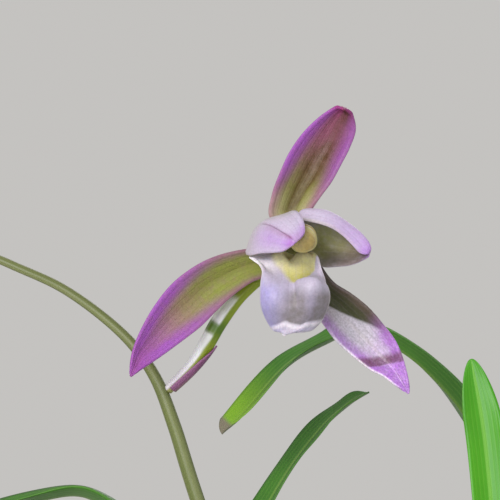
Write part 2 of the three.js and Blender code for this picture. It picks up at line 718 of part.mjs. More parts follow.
// A bud with its stalk: slender, swelling to a pointed bud
function bud({ share, tip, radius }) {
  const path = curveThrough(SCAPE);
  const start = path.getPoint(share);
  const end = new THREE.Vector3(...tip);
  const along = end.clone().sub(start).normalize();
  const angle = along.angleTo(path.getTangent(share));
  const clear = (STALK * (1 + Math.abs(Math.cos(angle)))) / Math.sin(angle) + GAP;
  const swell = BUD_SWELL.map(([t, share]) => [t, share * radius]);
  const shares = [[clear / end.distanceTo(start), STALK], ...BUD_STALK, ...swell];
  const points = shares.map(([t, r]) => {
    const p = start.clone().lerp(end, t).addScaledVector(UP, -BUD_SAG * Math.sin(Math.PI * t));
    return [p.x, p.y, p.z, r];
  });
  return stem(points, { steps: 14, across: Math.abs(along.y) < 0.8 ? BACK : UP });
}

const part = new THREE.Group();

// Adds a named piece in its own material
function addPiece(name, geometry, [color, roughness]) {
  const material = new THREE.MeshStandardMaterial({ color, roughness, metalness: 0 });
  const mesh = new THREE.Mesh(geometry, material);
  mesh.name = name;
  part.add(mesh);
}

// A round body of the flower through a table of points
function flowerBody(points, options) {
  return stem(onFlower(points), { sides: 12, across: UP, ...options });
}

addPiece('pot', pot(), FINISH.clay);
const stemHole = stem(SCAPE, { steps: 3, end: STEM_FOOT, grow: GAP });
const bulbHoles = GROWTHS.map(({ at, fan }) => pseudobulb(at, fan, GAP));
addPiece('planting_mix', plantingMix([stemHole, ...bulbHoles]), FINISH.bark);
GROWTHS.forEach((growth, g) => {
  addPiece(`pseudobulb_${g + 1}`, pseudobulb(growth.at, growth.fan), FINISH.bulb);
  growth.leaves.forEach((blade, k) => {
    const foot = leafFoot(growth, blade);
    const way = blade.way ? [foot, ...blade.way] : archingWay(foot, blade);
    addPiece(`leaf_${g + 1}_${k + 1}`, leaf(way, blade), FINISH.leaf);
  });
});
addPiece('scape', scape(), FINISH.stem);
addPiece('ovary', flowerBody(OVARY, { steps: 18, ribs: OVARY_RIB }), FINISH.ovary);
addPiece('dorsal_sepal', organ(DORSAL_SEPAL), FINISH.sepal);
addPiece('left_sepal', organ(LEFT_SEPAL), FINISH.sepal);
addPiece('right_sepal', organ(RIGHT_SEPAL), FINISH.sepal);
addPiece('left_petal', organ(LEFT_PETAL), FINISH.petal);
addPiece('right_petal', organ(RIGHT_PETAL, SPREAD_PETAL_STEPS), FINISH.petal);
addPiece('lip', organ(LIP, LIP_STEPS), FINISH.lip);
addPiece('column', flowerBody(COLUMN, { steps: 8 }), FINISH.column);
addPiece('anther_cap', flowerBody(ANTHER_CAP, { steps: 6 }), FINISH.anther);
addPiece('flower_bract', claspingBract(), FINISH.bract);
BUDS.forEach((one, k) => {
  addPiece(`bud_${k + 1}`, bud(one), FINISH.bud);
});

export default part;
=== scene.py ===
"""Looks of a potted sword-leaved orchid, Cymbidium ensifolium, with one open flower on its leaning stem.

Sizes are in millimetres, as on the plant, and each mesh is turned to metres where it is made.
"""
import logging
import math
from dataclasses import dataclass, field
from enum import Enum
from functools import cached_property
from typing import Any, Callable, Sequence

import bmesh
import bpy
import numpy as np
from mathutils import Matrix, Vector


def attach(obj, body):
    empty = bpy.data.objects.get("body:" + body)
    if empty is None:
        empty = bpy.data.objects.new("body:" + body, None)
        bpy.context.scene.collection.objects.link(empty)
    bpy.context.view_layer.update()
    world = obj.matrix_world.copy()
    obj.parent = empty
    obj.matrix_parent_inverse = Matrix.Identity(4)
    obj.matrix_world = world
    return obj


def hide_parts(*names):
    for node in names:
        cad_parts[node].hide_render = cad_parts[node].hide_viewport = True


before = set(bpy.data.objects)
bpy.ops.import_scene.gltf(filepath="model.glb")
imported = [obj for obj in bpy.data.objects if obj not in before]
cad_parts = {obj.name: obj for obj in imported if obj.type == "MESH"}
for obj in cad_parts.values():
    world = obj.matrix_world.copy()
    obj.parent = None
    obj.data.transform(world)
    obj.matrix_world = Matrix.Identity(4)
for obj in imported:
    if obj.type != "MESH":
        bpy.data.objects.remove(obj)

# Metres to the millimetre, and how far a piece stands off what carries it
MM = 0.001
GAP = 0.3
TURN = 2 * math.pi
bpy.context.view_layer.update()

Array = np.ndarray
Point = Sequence[float]
Station = Sequence[Point]
Masks = Callable[[Array, Array, bool], dict[str, Any]]

log = logging.getLogger("orchid")

# The open flower's middle, where its organs meet the column
FLOWER = np.array([-21.5, -10.0, 385.0])
AWAY = (0, 1, 0)
UP = (0, 0, 1)
# The planting mix where it meets the pot, and how far it rises in the middle
MIX_LEVEL = 138.0
MIX_MOUND = 3.0
# Map units to the millimetre, for pieces whose map is a plan seen from above
PLAN_SCALE = 0.01


def linear(code: str) -> tuple[float, float, float, float]:
    """Turns an sRGB hex colour into the linear colour that a shader takes.

    Args:
        code: Six hex digits after a hash, such as "#a5603f".

    Returns:
        Red, green, blue and an alpha of 1.
    """
    parts = [int(code[i:i + 2], 16) / 255 for i in (1, 3, 5)]
    red, green, blue = (p / 12.92 if p <= 0.04045 else ((p + 0.055) / 1.055) ** 2.4 for p in parts)
    return red, green, blue, 1.0


def ease(x: Array | float, low: Array | float, high: Array | float) -> Array:
    """Rises smoothly from 0 where x is at low to 1 where x is at high."""
    t = np.clip((np.asarray(x, float) - low) / (high - low), 0, 1)
    return t * t * (3 - 2 * t)


def fade(x: Array | float, low: Array | float, high: Array | float) -> Array:
    """Falls smoothly from 1 where x is at low to 0 where x is at high."""
    return 1 - ease(x, low, high)


def bell(x: Array | float, middle: Array | float, width: Array | float) -> Array:
    """A smooth bump of height 1 at middle that has fallen to about a third at width from it."""
    return np.exp(-(((np.asarray(x, float) - middle) / width) ** 2))


def spline(knots: Array | Sequence[Point], count: int) -> Array:
    """Runs a smooth curve through knots.

    Args:
        knots: Points, one a row, with any number of values each.
        count: How many points to return, evenly spread over the knots.

    Returns:
        The points of the curve, one a row.
    """
    knots = np.asarray(knots, float)
    last = len(knots) - 1
    ends = np.vstack([2 * knots[0] - knots[1], knots, 2 * knots[-1] - knots[-2]])
    t = np.linspace(0, last, count)
    at = np.minimum(t.astype(int), last - 1)
    f = (t - at)[:, None]
    a, b, c, d = (ends[at + k] for k in range(4))
    return 0.5 * (2 * b + (c - a) * f + (2 * a - 5 * b + 4 * c - d) * f**2 + (3 * b - a - 3 * c + d) * f**3)


def unit(vectors: Array) -> Array:
    """Scales each vector along the last axis to length 1."""
    return vectors / np.maximum(np.linalg.norm(vectors, axis=-1, keepdims=True), 1e-9)


def swing(angle: Array, first: Array, second: Array) -> Array:
    """Unit vectors that turn by an angle from a first direction towards a second one."""
    return np.cos(angle)[..., None] * first + np.sin(angle)[..., None] * second


def shares(rows: int, columns: int) -> list[Array]:
    """Share of the way along the rows, and across the columns, at each point of a grid."""
    return np.meshgrid(np.linspace(0, 1, rows), np.linspace(0, 1, columns), indexing="ij")


def grid_faces(rows: int, columns: int, closed: bool = False) -> Array:
    """Numbers the four-cornered faces of a grid of points.

    Args:
        rows: Its rows.
        columns: Its columns.
        closed: Whether the last column joins the first.

    Returns:
        The faces as rows of point numbers.
    """
    i, j = np.meshgrid(np.arange(rows - 1), np.arange(columns if closed else columns - 1), indexing="ij")
    k = (j + 1) % columns
    return np.stack([i * columns + j, (i + 1) * columns + j, (i + 1) * columns + k, i * columns + k], -1).reshape(-1, 4)


def grid_normals(grid: Array) -> Array:
    """Returns the unit normal of a grid of points at each of them, along the rows crossed with the columns."""
    return unit(np.cross(np.gradient(grid, axis=0), np.gradient(grid, axis=1)))


def sides_along(path: Array, across: Point) -> tuple[Array, Array]:
    """Finds two directions that stand square to a path and to each other.

    Args:
        path: Its points, one a row.
        across: What the first direction lies nearest to.

    Returns:
        Both directions at each point.
    """
    along = unit(np.gradient(path, axis=0))
    wish = np.asarray(across, float)
    side = unit(wish - (along @ wish)[:, None] * along)
    return side, np.cross(along, side)


def turned(radius: Array, height: Array, sides: int) -> Array:
    """Rings of points about the upright axis, from a column of radii and of heights."""
    angle = np.linspace(0, TURN, sides, endpoint=False)
    return np.stack([radius * np.cos(angle), radius * np.sin(angle), height + 0 * angle], -1)


@dataclass(frozen=True)
class Layer:
    """A colour laid over a skin where a mask of the mesh says, broken up a little by cell clusters."""

    mask: str
    colour: str
    strength: float = 1.0


def with_stops(ramp: bpy.types.NodeSocket, *stops: tuple[float, str]) -> bpy.types.NodeSocket:
    """Sets the stops of a colour ramp.

    Args:
        ramp: The ramp's output.
        stops: Places and hex colours: the two ends first, then what lies between.

    Returns:
        That output.
    """
    elements = ramp.node.color_ramp.elements
    for k, (place, code) in enumerate(stops):
        stop = elements[k] if k < 2 else elements.new(place)
        stop.position = place
        stop.color = linear(code)
    return ramp


class Shading:
    """A material that is being wired, with the patterns that several finishes share."""

    def __init__(self, name: str, **sockets: Any) -> None:
        """Makes the material and sets its shader.

        Args:
            name: The material's name.
            sockets: Constant values for the shader's sockets, with underscores for spaces.
        """
        self.material = bpy.data.materials.new(name)
        self.material.use_nodes = True
        self.tree = self.material.node_tree
        self.shader = self.tree.nodes["Principled BSDF"]
        for key, value in sockets.items():
            self.shader.inputs[key.replace("_", " ")].default_value = value

    def add(self, kind: str, inputs: dict[int | str, Any], output: int | str = 0, **settings: Any) -> Any:
        """Adds one node with its settings and links.

        Args:
            kind: The node's type name, after "ShaderNode".
            inputs: Value, hex colour or linked output for each input, by its name or number.
            output: Name or number of the output that is wanted.
            settings: The node's own properties.

        Returns:
            That output.
        """
        made = self.tree.nodes.new("ShaderNode" + kind)
        for key, value in settings.items():
            setattr(made, key, value)
        for key, value in inputs.items():
            if isinstance(value, bpy.types.NodeSocket):
                self.tree.links.new(value, made.inputs[key])
            else:
                made.inputs[key].default_value = linear(value) if isinstance(value, str) else value
        return made.outputs[output]

    @cached_property
    def place(self) -> Any:
        """Where on the mesh a point lies, in metres."""
        return self.add("TexCoord", {}, "Object")

    @cached_property
    def face(self) -> Any:
        """The mesh's map, which runs along and across a blade, or along and round a stem."""
        return self.add("UVMap", {}, uv_map="face")

    def laid(self, ground: Any, over: Any, share: Any, strength: float = 1.0) -> Any:
        """Lays one colour over another.

        Args:
            ground: The lower colour, a hex code or an output.
            over: The upper one.
            share: Output that says where the upper one shows.
            strength: How much of it shows there.

        Returns:
            The output with the colour.
        """
        showing = self.add("Math", {0: share, 1: strength}, operation="MULTIPLY")
        return self.add("Mix", {0: showing, 6: ground, 7: over}, 2, data_type="RGBA")

    def layered(self, ground: str, layers: Sequence[Layer], broken: Any) -> Any:
        """Lays coloured layers over a ground.

        Args:
            ground: The ground's hex colour.
            layers: The layers, from the lowest to the uppermost.
            broken: Output that breaks up their masks.

        Returns:
            The output with the colour.
        """
        colour: Any = ground
        for layer in layers:
            mask = self.add("Attribute", {}, "Fac", attribute_name=layer.mask)
            share = self.add("Math", {0: mask, 1: broken}, operation="MULTIPLY")
            colour = self.laid(colour, layer.colour, share, layer.strength)
        return colour

    def speckled(self, colour: Any, grain: Any, low: float, high: float, dark: float, light: float) -> Any:
        """Darkens a colour where the grain is low, and lightens it where it is high."""
        speck = self.add("MapRange", {0: grain, 1: low, 2: high, 3: dark, 4: light})
        return self.add("Mix", {0: 1.0, 6: colour, 7: speck}, 2, data_type="RGBA", blend_type="MULTIPLY")

    def stripes(self, across: Any, count: float, fineness: float) -> Any:
        """Draws lines that run lengthwise.

        Args:
            across: Output with the share across the face.
            count: How many lines there are.
            fineness: How narrow they are.

        Returns:
            The output that is 1 in their middles and 0 between them.
        """
        line = self.add("Math", {0: across, 1: count * math.pi}, operation="MULTIPLY")
        for operation in ("COSINE", "ABSOLUTE"):
            line = self.add("Math", {0: line}, operation=operation)
        return self.add("Math", {0: line, 1: fineness}, operation="POWER")

    def done(self, colour: Any, *reliefs: tuple[Any, float, float, bool]) -> bpy.types.Material:
        """Links the colour and the layers of relief to the shader.

        Args:
            colour: The output with the colour.
            reliefs: The layers from the lowest up: height, strength, depth in millimetres and whether it is sunk.

        Returns:
            The material.
        """
        wired = {"Base Color": colour}
        below: dict[str, Any] = {}
        for height, strength, depth, sunk in reliefs:
            inputs = {"Height": height, "Strength": strength, "Distance": depth * MM, **below}
            below = {"Normal": self.add("Bump", inputs, invert=sunk)}
        for key, output in {**wired, **below}.items():
            self.tree.links.new(output, self.shader.inputs[key])
        return self.material


@dataclass(frozen=True)
class Tissue:
    """Living floral tissue: thin waxy skin over clear cells, which glow softly where light gets in.

    Veins run lengthwise under the skin. The cells are drawn at cell_mm, about four times their real
    size, because real ones would not show.
    """

    name: str
    ground: str
    layers: tuple[Layer, ...]
    vein: str = "#8c7a8c"
    veins: float = 9.0
    vein_strength: float = 0.25
    cell_mm: float = 0.22
    cell_relief_mm: float = 0.03
    roughness: float = 0.46
    glow: float = 0.18
    sheen: float = 0.1
    shine: float = 0.5
    # Extra contrast of the fine specks, painting the cells' glints into the colour
    painted_glint: float = 0.0

    def material(self) -> bpy.types.Material:
        """Makes the material, which reads the map "face" and the masks of the mesh.

        Returns:
            The material.
        """
        made = Shading(
            self.name, Roughness=self.roughness, IOR=1.42, Specular_IOR_Level=self.shine, Subsurface_Weight=self.glow,
            Subsurface_Radius=(1.0, 0.62, 0.7), Subsurface_Scale=0.0012, Sheen_Weight=self.sheen, Sheen_Roughness=0.4,
            Coat_Weight=0.05, Coat_Roughness=0.35,
        )
        clusters = made.add("TexNoise", {"Vector": made.place, "Scale": 900, "Detail": 4})
        broken = made.add("MapRange", {0: clusters, 1: 0.3, 2: 0.7, 3: 0.78, 4: 1.12})
        colour = made.layered(self.ground, self.layers, broken)
        across = made.add("SeparateXYZ", {0: made.face}, 1)
        waver = made.add("Math", {0: clusters, 1: 0.03}, operation="MULTIPLY")
        line = made.stripes(made.add("Math", {0: across, 1: waver}, operation="ADD"), self.veins, 14)
        colour = made.laid(colour, self.vein, line, self.vein_strength)
        fine = made.add("TexNoise", {"Vector": made.place, "Scale": 2600})
        colour = made.speckled(colour, fine, 0.35, 0.65, 0.93 - self.painted_glint, 1.06 + self.painted_glint)
        cells = made.add("TexVoronoi", {"Vector": made.place, "Scale": 1 / (self.cell_mm * MM)})
        return made.done(colour, (cells, 0.5, self.cell_relief_mm, True), (line, 0.6, 0.05, True))


@dataclass(frozen=True)
class LeafSkin:
    """A leathery evergreen blade: waxed, deep green, with fine lengthwise veins and a pale midrib.

    The veins stand about a millimetre apart, twice as far as on the plant, because finer ones would not show.
    """

    name: str
    green: str
    deep: str
    pale: str
    # Colours towards a leaf's tip: grey at its very end, yellow green before it
    grey_end: str = "#77705f"
    ageing: str = "#7fae1c"
    veins: float = 9.0
    roughness: float = 0.46

    def material(self) -> bpy.types.Material:
        """Makes the material, whose veins follow the map "face".

        Returns:
            The material.
        """
        made = Shading(
            self.name, Roughness=self.roughness, IOR=1.45, Subsurface_Weight=0.08, Subsurface_Radius=(0.5, 1.0, 0.3),
            Subsurface_Scale=0.001, Coat_Weight=0.06, Coat_Roughness=0.3,
        )
        cloud = made.add("TexNoise", {"Vector": made.place, "Scale": 45, "Detail": 5})
        along, across = (made.add("SeparateXYZ", {0: made.face}, axis) for axis in (0, 1))
        line = made.stripes(across, self.veins, 6)
        rib, ageing, spent = (
            made.add("Attribute", {}, "Fac", attribute_name=name) for name in ("rib", "ageing", "spent")
        )
        colour: Any = self.deep
        for over, share, strength in (
            (self.green, made.add("MapRange", {0: cloud, 1: 0.35, 2: 0.68}), 1.0),
            (self.pale, line, 0.12),
            (self.pale, rib, 0.55),
            (self.pale, made.add("MapRange", {0: along, 1: 0, 2: 0.13, 3: 0.65, 4: 0}), 1.0),
            (self.ageing, ageing, 1.0),
            (self.grey_end, spent, 1.0),
        ):
            colour = made.laid(colour, over, share, strength)
        grain = made.add("TexNoise", {"Vector": made.place, "Scale": 1400})
        return made.done(colour, (grain, 0.12, 0.05, False), (line, 0.25, 0.08, True))


@dataclass(frozen=True)
class StemSkin:
    """A fleshy green stem: smooth and satin, faintly furrowed lengthwise, flushed in places."""

    name: str
    green: str
    layers: tuple[Layer, ...]
    furrow: str = "#46502a"
    furrows: float = 14.0
    roughness: float = 0.42

    def material(self) -> bpy.types.Material:
        """Makes the material, which reads the map "face" and the masks of the mesh.

        Returns:
            The material.
        """
        made = Shading(
            self.name, Roughness=self.roughness, IOR=1.42, Subsurface_Weight=0.12, Subsurface_Radius=(0.7, 1.0, 0.4),
            Subsurface_Scale=0.0012, Coat_Weight=0.1, Coat_Roughness=0.3,
        )
        cloud = made.add("TexNoise", {"Vector": made.place, "Scale": 260, "Detail": 4})
        broken = made.add("MapRange", {0: cloud, 1: 0.35, 2: 0.65, 3: 0.8, 4: 1.15})
        colour = made.layered(self.green, self.layers, broken)
        line = made.stripes(made.add("SeparateXYZ", {0: made.face}, 1), self.furrows, 3)
        colour = made.laid(colour, self.furrow, line, 0.1)
        grain = made.add("TexNoise", {"Vector": made.place, "Scale": 2200})
        return made.done(colour, (grain, 0.15, 0.03, False), (line, 0.2, 0.04, True))


@dataclass(frozen=True)
class Terracotta:
    """Unglazed fired clay, thrown on a wheel: matte, orange brown, with a chalky bloom where water dried."""

    name: str = "terracotta"
    clay: str = "#a4603f"
    dark: str = "#84482e"
    bloom: str = "#cdae97"

    def material(self) -> bpy.types.Material:
        """Makes the clay's material.

        Returns:
            The material.
        """
        made = Shading(self.name, Roughness=0.85, IOR=1.5, Specular_IOR_Level=0.3)
        firing = made.add("TexNoise", {"Vector": made.place, "Scale": 22, "Detail": 8, "Roughness": 0.62})
        colour = with_stops(made.add("ValToRGB", {0: firing}), (0.34, self.dark), (0.62, self.clay))
        height = made.add("SeparateXYZ", {0: made.place}, 2)
        low = made.add("MapRange", {0: height, 1: 0, 2: 0.07, 3: 0.16, 4: 0})
        damp = made.add("TexNoise", {"Vector": made.place, "Scale": 34, "Detail": 9, "Roughness": 0.7})
        edge = made.add("Math", {0: damp, 1: low}, operation="ADD")
        dried = made.add("MapRange", {0: edge, 1: 0.52, 2: 0.74, 3: 0, 4: 0.62})
        colour = made.laid(colour, self.bloom, dried)
        grit = made.add("TexNoise", {"Vector": made.place, "Scale": 900, "Detail": 3})
        colour = made.speckled(colour, grit, 0.3, 0.7, 0.84, 1.12)
        wave = {"Vector": made.place, "Scale": 60, "Distortion": 2.5, "Detail": 3, "Detail Scale": 0.6}
        rings = made.add("TexWave", wave, 1, bands_direction="Z")
        return made.done(colour, (grit, 0.35, 0.3, False), (rings, 0.22, 0.5, False))


@dataclass(frozen=True)
class Bark:
    """Composted fir bark with clay grit: rough broken chips, from near black to tan, and some pale grit."""

    name: str = "bark_chips"
    tones: tuple[tuple[float, str], ...] = (
        (0.0, "#2f2119"), (1.0, "#c9bda6"), (0.35, "#573a27"), (0.62, "#7d5a3c"), (0.82, "#96795a"),
    )

    def material(self) -> bpy.types.Material:
        """Makes the chips' material, whose colour follows the mask "tone" of each chip.

        Returns:
            The material.
        """
        made = Shading(self.name, Roughness=0.93, IOR=1.5, Specular_IOR_Level=0.25)
        grain = made.add("TexNoise", {"Vector": made.place, "Scale": 620, "Detail": 6, "Roughness": 0.7})
        tone = made.add("Attribute", {}, "Fac", attribute_name="tone")
        colour = with_stops(made.add("ValToRGB", {0: tone}), *self.tones)
        return made.done(made.speckled(colour, grain, 0.3, 0.7, 0.6, 1.25), (grain, 0.8, 0.5, False))


@dataclass(frozen=True)
class DrySheath:
    """An old sheath: papery, straw to brown, with stringy fibres lengthwise."""

    name: str = "dry_sheath"
    tones: tuple[tuple[float, str], ...] = ((0.3, "#4e3822"), (0.72, "#c8ab78"), (0.52, "#94714a"))

    def material(self) -> bpy.types.Material:
        """Makes the sheath's material.

        Returns:
            The material.
        """
        made = Shading(self.name, Roughness=0.7, IOR=1.45, Sheen_Weight=0.2)
        stretched = made.add("Mapping", {"Vector": made.face, "Scale": (3.0, 46.0, 1.0)})
        fibre = made.add("TexNoise", {"Vector": stretched, "Scale": 1, "Detail": 5})
        return made.done(with_stops(made.add("ValToRGB", {0: fibre}), *self.tones), (fibre, 0.6, 0.2, False))


class Finish(Enum):
    """The finishes of the plant and its pot, each made once."""

    # The upper two sepals: waxy skin, olive in the middle, purple at the margins and the tip
    SEPAL = Tissue(
        "sepal_tissue", "#8a606e",
        (
            Layer("warm", "#838a43"), Layer("pale", "#bdb38f", 0.85), Layer("blush", "#9152a7"),
            # streak is the brown midrib streak, and on the dorsal sepal painted shade as well
            Layer("rose", "#962e72", 0.9), Layer("streak", "#4c351a", 0.9),
        ),
        vein="#6b5a48", vein_strength=0.1, cell_mm=0.3, cell_relief_mm=0.05, roughness=0.42, sheen=0.03, shine=0.2,
    )
    # The lower right sepal: frosted by small clear cells, whose glints are painted into its colour as specks
    PALE_SEPAL = Tissue(
        "frosted_sepal_tissue", "#cac5d0",
        (
            # Painted shadow and shade: warm darkens the upper part to olive, rose paints a shadow band and a shaded
            # margin
            Layer("warm", "#45492a"), Layer("blush", "#ab76c9"), Layer("rose", "#6b4259", 0.85),
            # Painted highlight: pale is a thin bright line along the first margin
            Layer("streak", "#a39a8e", 0.3), Layer("pale", "#f3eff7", 0.9),
        ),
        vein="#8f8496", vein_strength=0.1, cell_mm=0.3, cell_relief_mm=0.06, roughness=0.38, painted_glint=0.09,
    )
    # Petals: thinner than sepals and nearly white, with a purple flush
    PETAL = Tissue(
        "petal_tissue", "#bcb2ca",
        # shade is painted shade in the right petal's cup; warm and streak there also paint shade at and under the
        # rolled rim
        (Layer("warm", "#969860"), Layer("blush", "#ac7acf"), Layer("shade", "#5f5052"), Layer("streak", "#8a4474")),
        vein="#a594b0", vein_strength=0.08,
    )
    # Lip: the thickest and softest skin, white lilac with a yellow throat
    LIP = Tissue(
        "lip_tissue", "#b4adc2",
        (
            # streak is painted shade; pale and cream are painted light and highlights, partly the lip's own whitish
            # colour
            Layer("blush", "#9089c6", 0.72), Layer("streak", "#5d5748", 0.8), Layer("pale", "#f1ecf2", 0.9),
            Layer("warm", "#b4b062"), Layer("cream", "#f4f0bc"),
        ),
        vein="#9d94ab", vein_strength=0.08, cell_mm=0.2, roughness=0.5, glow=0.22,
    )
    # Column and anther cap: firm yellow wax
    COLUMN = Tissue(
        "column_tissue", "#c2b47c",
        # On the cap, warm and streak also paint shade on one side and in its waist
        (Layer("warm", "#a28c4e", 0.85), Layer("blush", "#b5af70", 0.9), Layer("streak", "#7a6c3a", 0.8)),
        vein_strength=0.0, cell_mm=0.2, roughness=0.4, glow=0.25,
    )
    # Bract: a thin purple scale
    BRACT = Tissue(
        "bract_tissue", "#98698f", (Layer("blush", "#6a2f62", 0.9), Layer("warm", "#7d7444", 0.6)),
        vein="#7a4470", vein_strength=0.3, veins=7.0,
    )
    # Closed buds: green sepals that flush towards their tips
    BUD = Tissue(
        "bud_tissue", "#9aa35c", (Layer("blush", "#a06f9f", 0.85), Layer("warm", "#8a9a40", 0.6)),
        vein="#6f7a3c", veins=18.0,
    )
    # Stems: the scape, the ovary with its painted white highlights and painted shadow band, the sheaths and the bulbs
    STEM = StemSkin("stem_skin", "#616b3a", (Layer("pale", "#8c9268", 0.4), Layer("flush", "#655a4c", 0.35)))
    OVARY = StemSkin(
        "ovary_skin", "#8b9c26",
        # pale paints the highlight on the upper side, deep the shadow band across it
        (Layer("deep", "#587a1e"), Layer("pale", "#eff0f2"), Layer("flush", "#b27fae", 0.5), Layer("cream", "#8f8a55")),
        furrows=6.0,
    )
    STEM_SHEATH = StemSkin(
        "stem_sheath_skin", "#8f9a62", (Layer("pale", "#b7b98c", 0.5), Layer("flush", "#9a7a8c", 0.4)), furrows=24.0,
    )
    BULB = StemSkin(
        "bulb_skin", "#74843c", (Layer("pale", "#a9b06a", 0.5), Layer("flush", "#5c5a2e", 0.5)),
        furrows=20.0, roughness=0.5,
    )
    # Leaves: old ones dark, the youngest one bright
    LEAF = LeafSkin("leaf_blade", green="#3d7a18", deep="#2b5f14", pale="#7ea343")
    YOUNG_LEAF = LeafSkin("young_leaf_blade", green="#479a0c", deep="#388808", pale="#7cb83c")
    # The pot, what fills it, and the old sheaths at its surface
    CLAY = Terracotta()
    BARK = Bark()
    DRY = DrySheath()

    def material(self) -> bpy.types.Material:
        """Returns the finish's material, made on first use."""
        return bpy.data.materials.get(self.value.name) or self.value.material()


@dataclass
class Surface:
    """Points, faces, map places and masks of a mesh that is being gathered, in millimetres."""

    points: list[Array] = field(default_factory=list)
    faces: list[Array] = field(default_factory=list)
    places: list[Array] = field(default_factory=list)
    masks: dict[str, list[Array]] = field(default_factory=dict)
    size: int = 0

    def take(self, points: Array, faces: Array, places: Array, **masks: Array) -> None:
        """Adds a patch.

        Args:
            points: Its points, one a row.
            faces: Its faces as rows of point numbers, counted from 0 in this patch.
            places: The map place of each point.
            masks: A value for each point under each mask's name.
        """
        self.points.append(points)
        self.faces.append(faces + self.size)
        self.places.append(places)
        for name, values in masks.items():
            self.masks.setdefault(name, []).append(np.broadcast_to(values, len(points)))
        self.size += len(points)

    def shell(
        self, middle: Array, half: Array | float, masks: Masks = lambda u, v, inner: {}, front: int = 1,
    ) -> "Surface":
        """Adds a thin closed blade round a grid of points.

        Args:
            middle: Points of the blade's middle face, rows from foot to tip, columns from margin to margin.
            half: Half its thickness, for all or for each point.
            masks: Gives each mask's values over (along, across, on the inner face).
            front: 1 where the grid's normals leave the inner face, -1 where they leave the outer one.

        Returns:
            This surface.
        """
        rows, columns = middle.shape[:2]
        u, v = shares(rows, columns)
        out = grid_normals(middle) * np.broadcast_to(half, u.shape)[..., None]
        count = rows * columns
        ring = np.concatenate([
            np.arange(rows - 1) * columns,
            (rows - 1) * columns + np.arange(columns - 1),
            np.arange(rows - 1, 0, -1) * columns + columns - 1,
            np.arange(columns - 1, 0, -1),
        ])
        following = np.roll(ring, -1)
        flat = grid_faces(rows, columns)
        rim = np.stack([following, ring, ring + count, following + count], -1)
        both = [masks(u, v, front > 0), masks(u, v, front < 0)]
        self.take(
            np.concatenate([(middle + out).reshape(-1, 3), (middle - out).reshape(-1, 3)]),
            np.concatenate([flat, flat[:, ::-1] + count, rim]),
            np.tile(np.stack([u, v], -1).reshape(-1, 2), (2, 1)),
            **{name: np.concatenate([np.broadcast_to(m[name], u.shape).ravel() for m in both]) for name in both[0]},
        )
        return self

    def skin(
        self, rings: Array, ends: Sequence[Point] | Array, flat: bool = False, **masks: Array | float,
    ) -> "Surface":
        """Adds a closed skin over rings of points, with a cap at each end.

        Args:
            rings: The rings' points, a row of the grid for each.
            ends: Middle points of the two caps.
            flat: Whether the map is a plan seen from above, rather than one along and round the skin.
            masks: Values for the rings' points, of which a cap's middle takes the mean.

        Returns:
            This surface.
        """
        rows, sides = rings.shape[:2]
        count, last = rows * sides, (rows - 1) * sides
        k = np.arange(sides)
        following = (k + 1) % sides
        caps = np.concatenate([
            np.stack([np.full(sides, count), following, k], -1),
            np.stack([np.full(sides, count + 1), last + k, last + following], -1),
        ])
        points = np.concatenate([rings.reshape(-1, 3), np.asarray(ends, float)])
        u, v = np.meshgrid(np.linspace(0, 1, rows), np.linspace(0, TURN, sides, endpoint=False) / TURN, indexing="ij")
        wound = np.concatenate([np.stack([u, v], -1).reshape(-1, 2), [[0, 0.5], [1, 0.5]]])
        full = {name: np.broadcast_to(values, u.shape) for name, values in masks.items()}
        start = self.size
        self.take(
            points, grid_faces(rows, sides, closed=True)[:, ::-1], points[:, :2] * PLAN_SCALE if flat else wound,
            **{name: np.concatenate([m.ravel(), [m[0].mean(), m[-1].mean()]]) for name, m in full.items()},
        )
        self.faces.append(caps + start)
        return self

    def tube(
        self, knots: Sequence[Point] | Array, sides: int, steps: int, across: Point = AWAY,
        section: Callable[[Array, Array], Any] = lambda t, a: np.ones_like(t),
        masks: Callable[[Array, Array], dict[str, Any]] = lambda t, a: {},
    ) -> "Surface":
        """Adds a closed round stem.

        Args:
            knots: Points as (x, y, z, radius).
            sides: Points round it.
            steps: Rings along it, after the first.
            across: A direction that the first point of each ring turns to.
            section: Factor on the radius over (share of the way, angle).
            masks: Gives each mask's values over (share of the way, angle).

        Returns:
            This surface.
        """
        finer = 8
        fine = spline(knots, finer * steps + 1)
        way = fine[::finer]
        side, other = (s[::finer, None] for s in sides_along(fine[:, :3], across))
        t, a = np.meshgrid(np.linspace(0, 1, steps + 1), np.linspace(0, TURN, sides, endpoint=False), indexing="ij")
        radius = way[:, 3:] * section(t, a)
        rings = way[:, None, :3] + radius[..., None] * swing(a, side, other)
        return self.skin(rings, way[[0, -1], :3], **masks(t, a))

    def piece(
        self, name: str, finish: Finish, slot: str, replaces: Sequence[str] = (), smooth: bool = True,
    ) -> bpy.types.Object:
        """Makes the object, dressed, riding on the plant's one body.

        Args:
            name: The piece's name.
            finish: Its finish.
            slot: The record's material slot that it belongs to; not used.
            replaces: The frame's nodes that it stands for.
            smooth: Whether light runs smoothly over its edges.

        Returns:
            The new object.
        """
        mesh = bpy.data.meshes.new(name)
        faces = [row for block in self.faces for row in block.tolist()]
        mesh.from_pydata((np.concatenate(self.points) * MM).tolist(), [], faces)
        mesh.validate()
        places = np.concatenate(self.places)
        corners = np.empty(len(mesh.loops), int)
        mesh.loops.foreach_get("vertex_index", corners)
        mesh.uv_layers.new(name="face").data.foreach_set("uv", places[corners].astype(np.float32).ravel())
        for mask, values in self.masks.items():
            layer = mesh.attributes.new(mask, "FLOAT", "POINT")
            layer.data.foreach_set("value", np.concatenate(values).astype(np.float32))
        mesh.polygons.foreach_set("use_smooth", [smooth] * len(mesh.polygons))
        mesh.update()
        made = bpy.data.objects.new(name, mesh)
        bpy.context.scene.collection.objects.link(made)
        made.data.materials.append(finish.material())
        if replaces:
            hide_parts(*replaces)
        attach(made, "root")
        log.info("%s: %d faces", name, len(mesh.polygons))
        return made


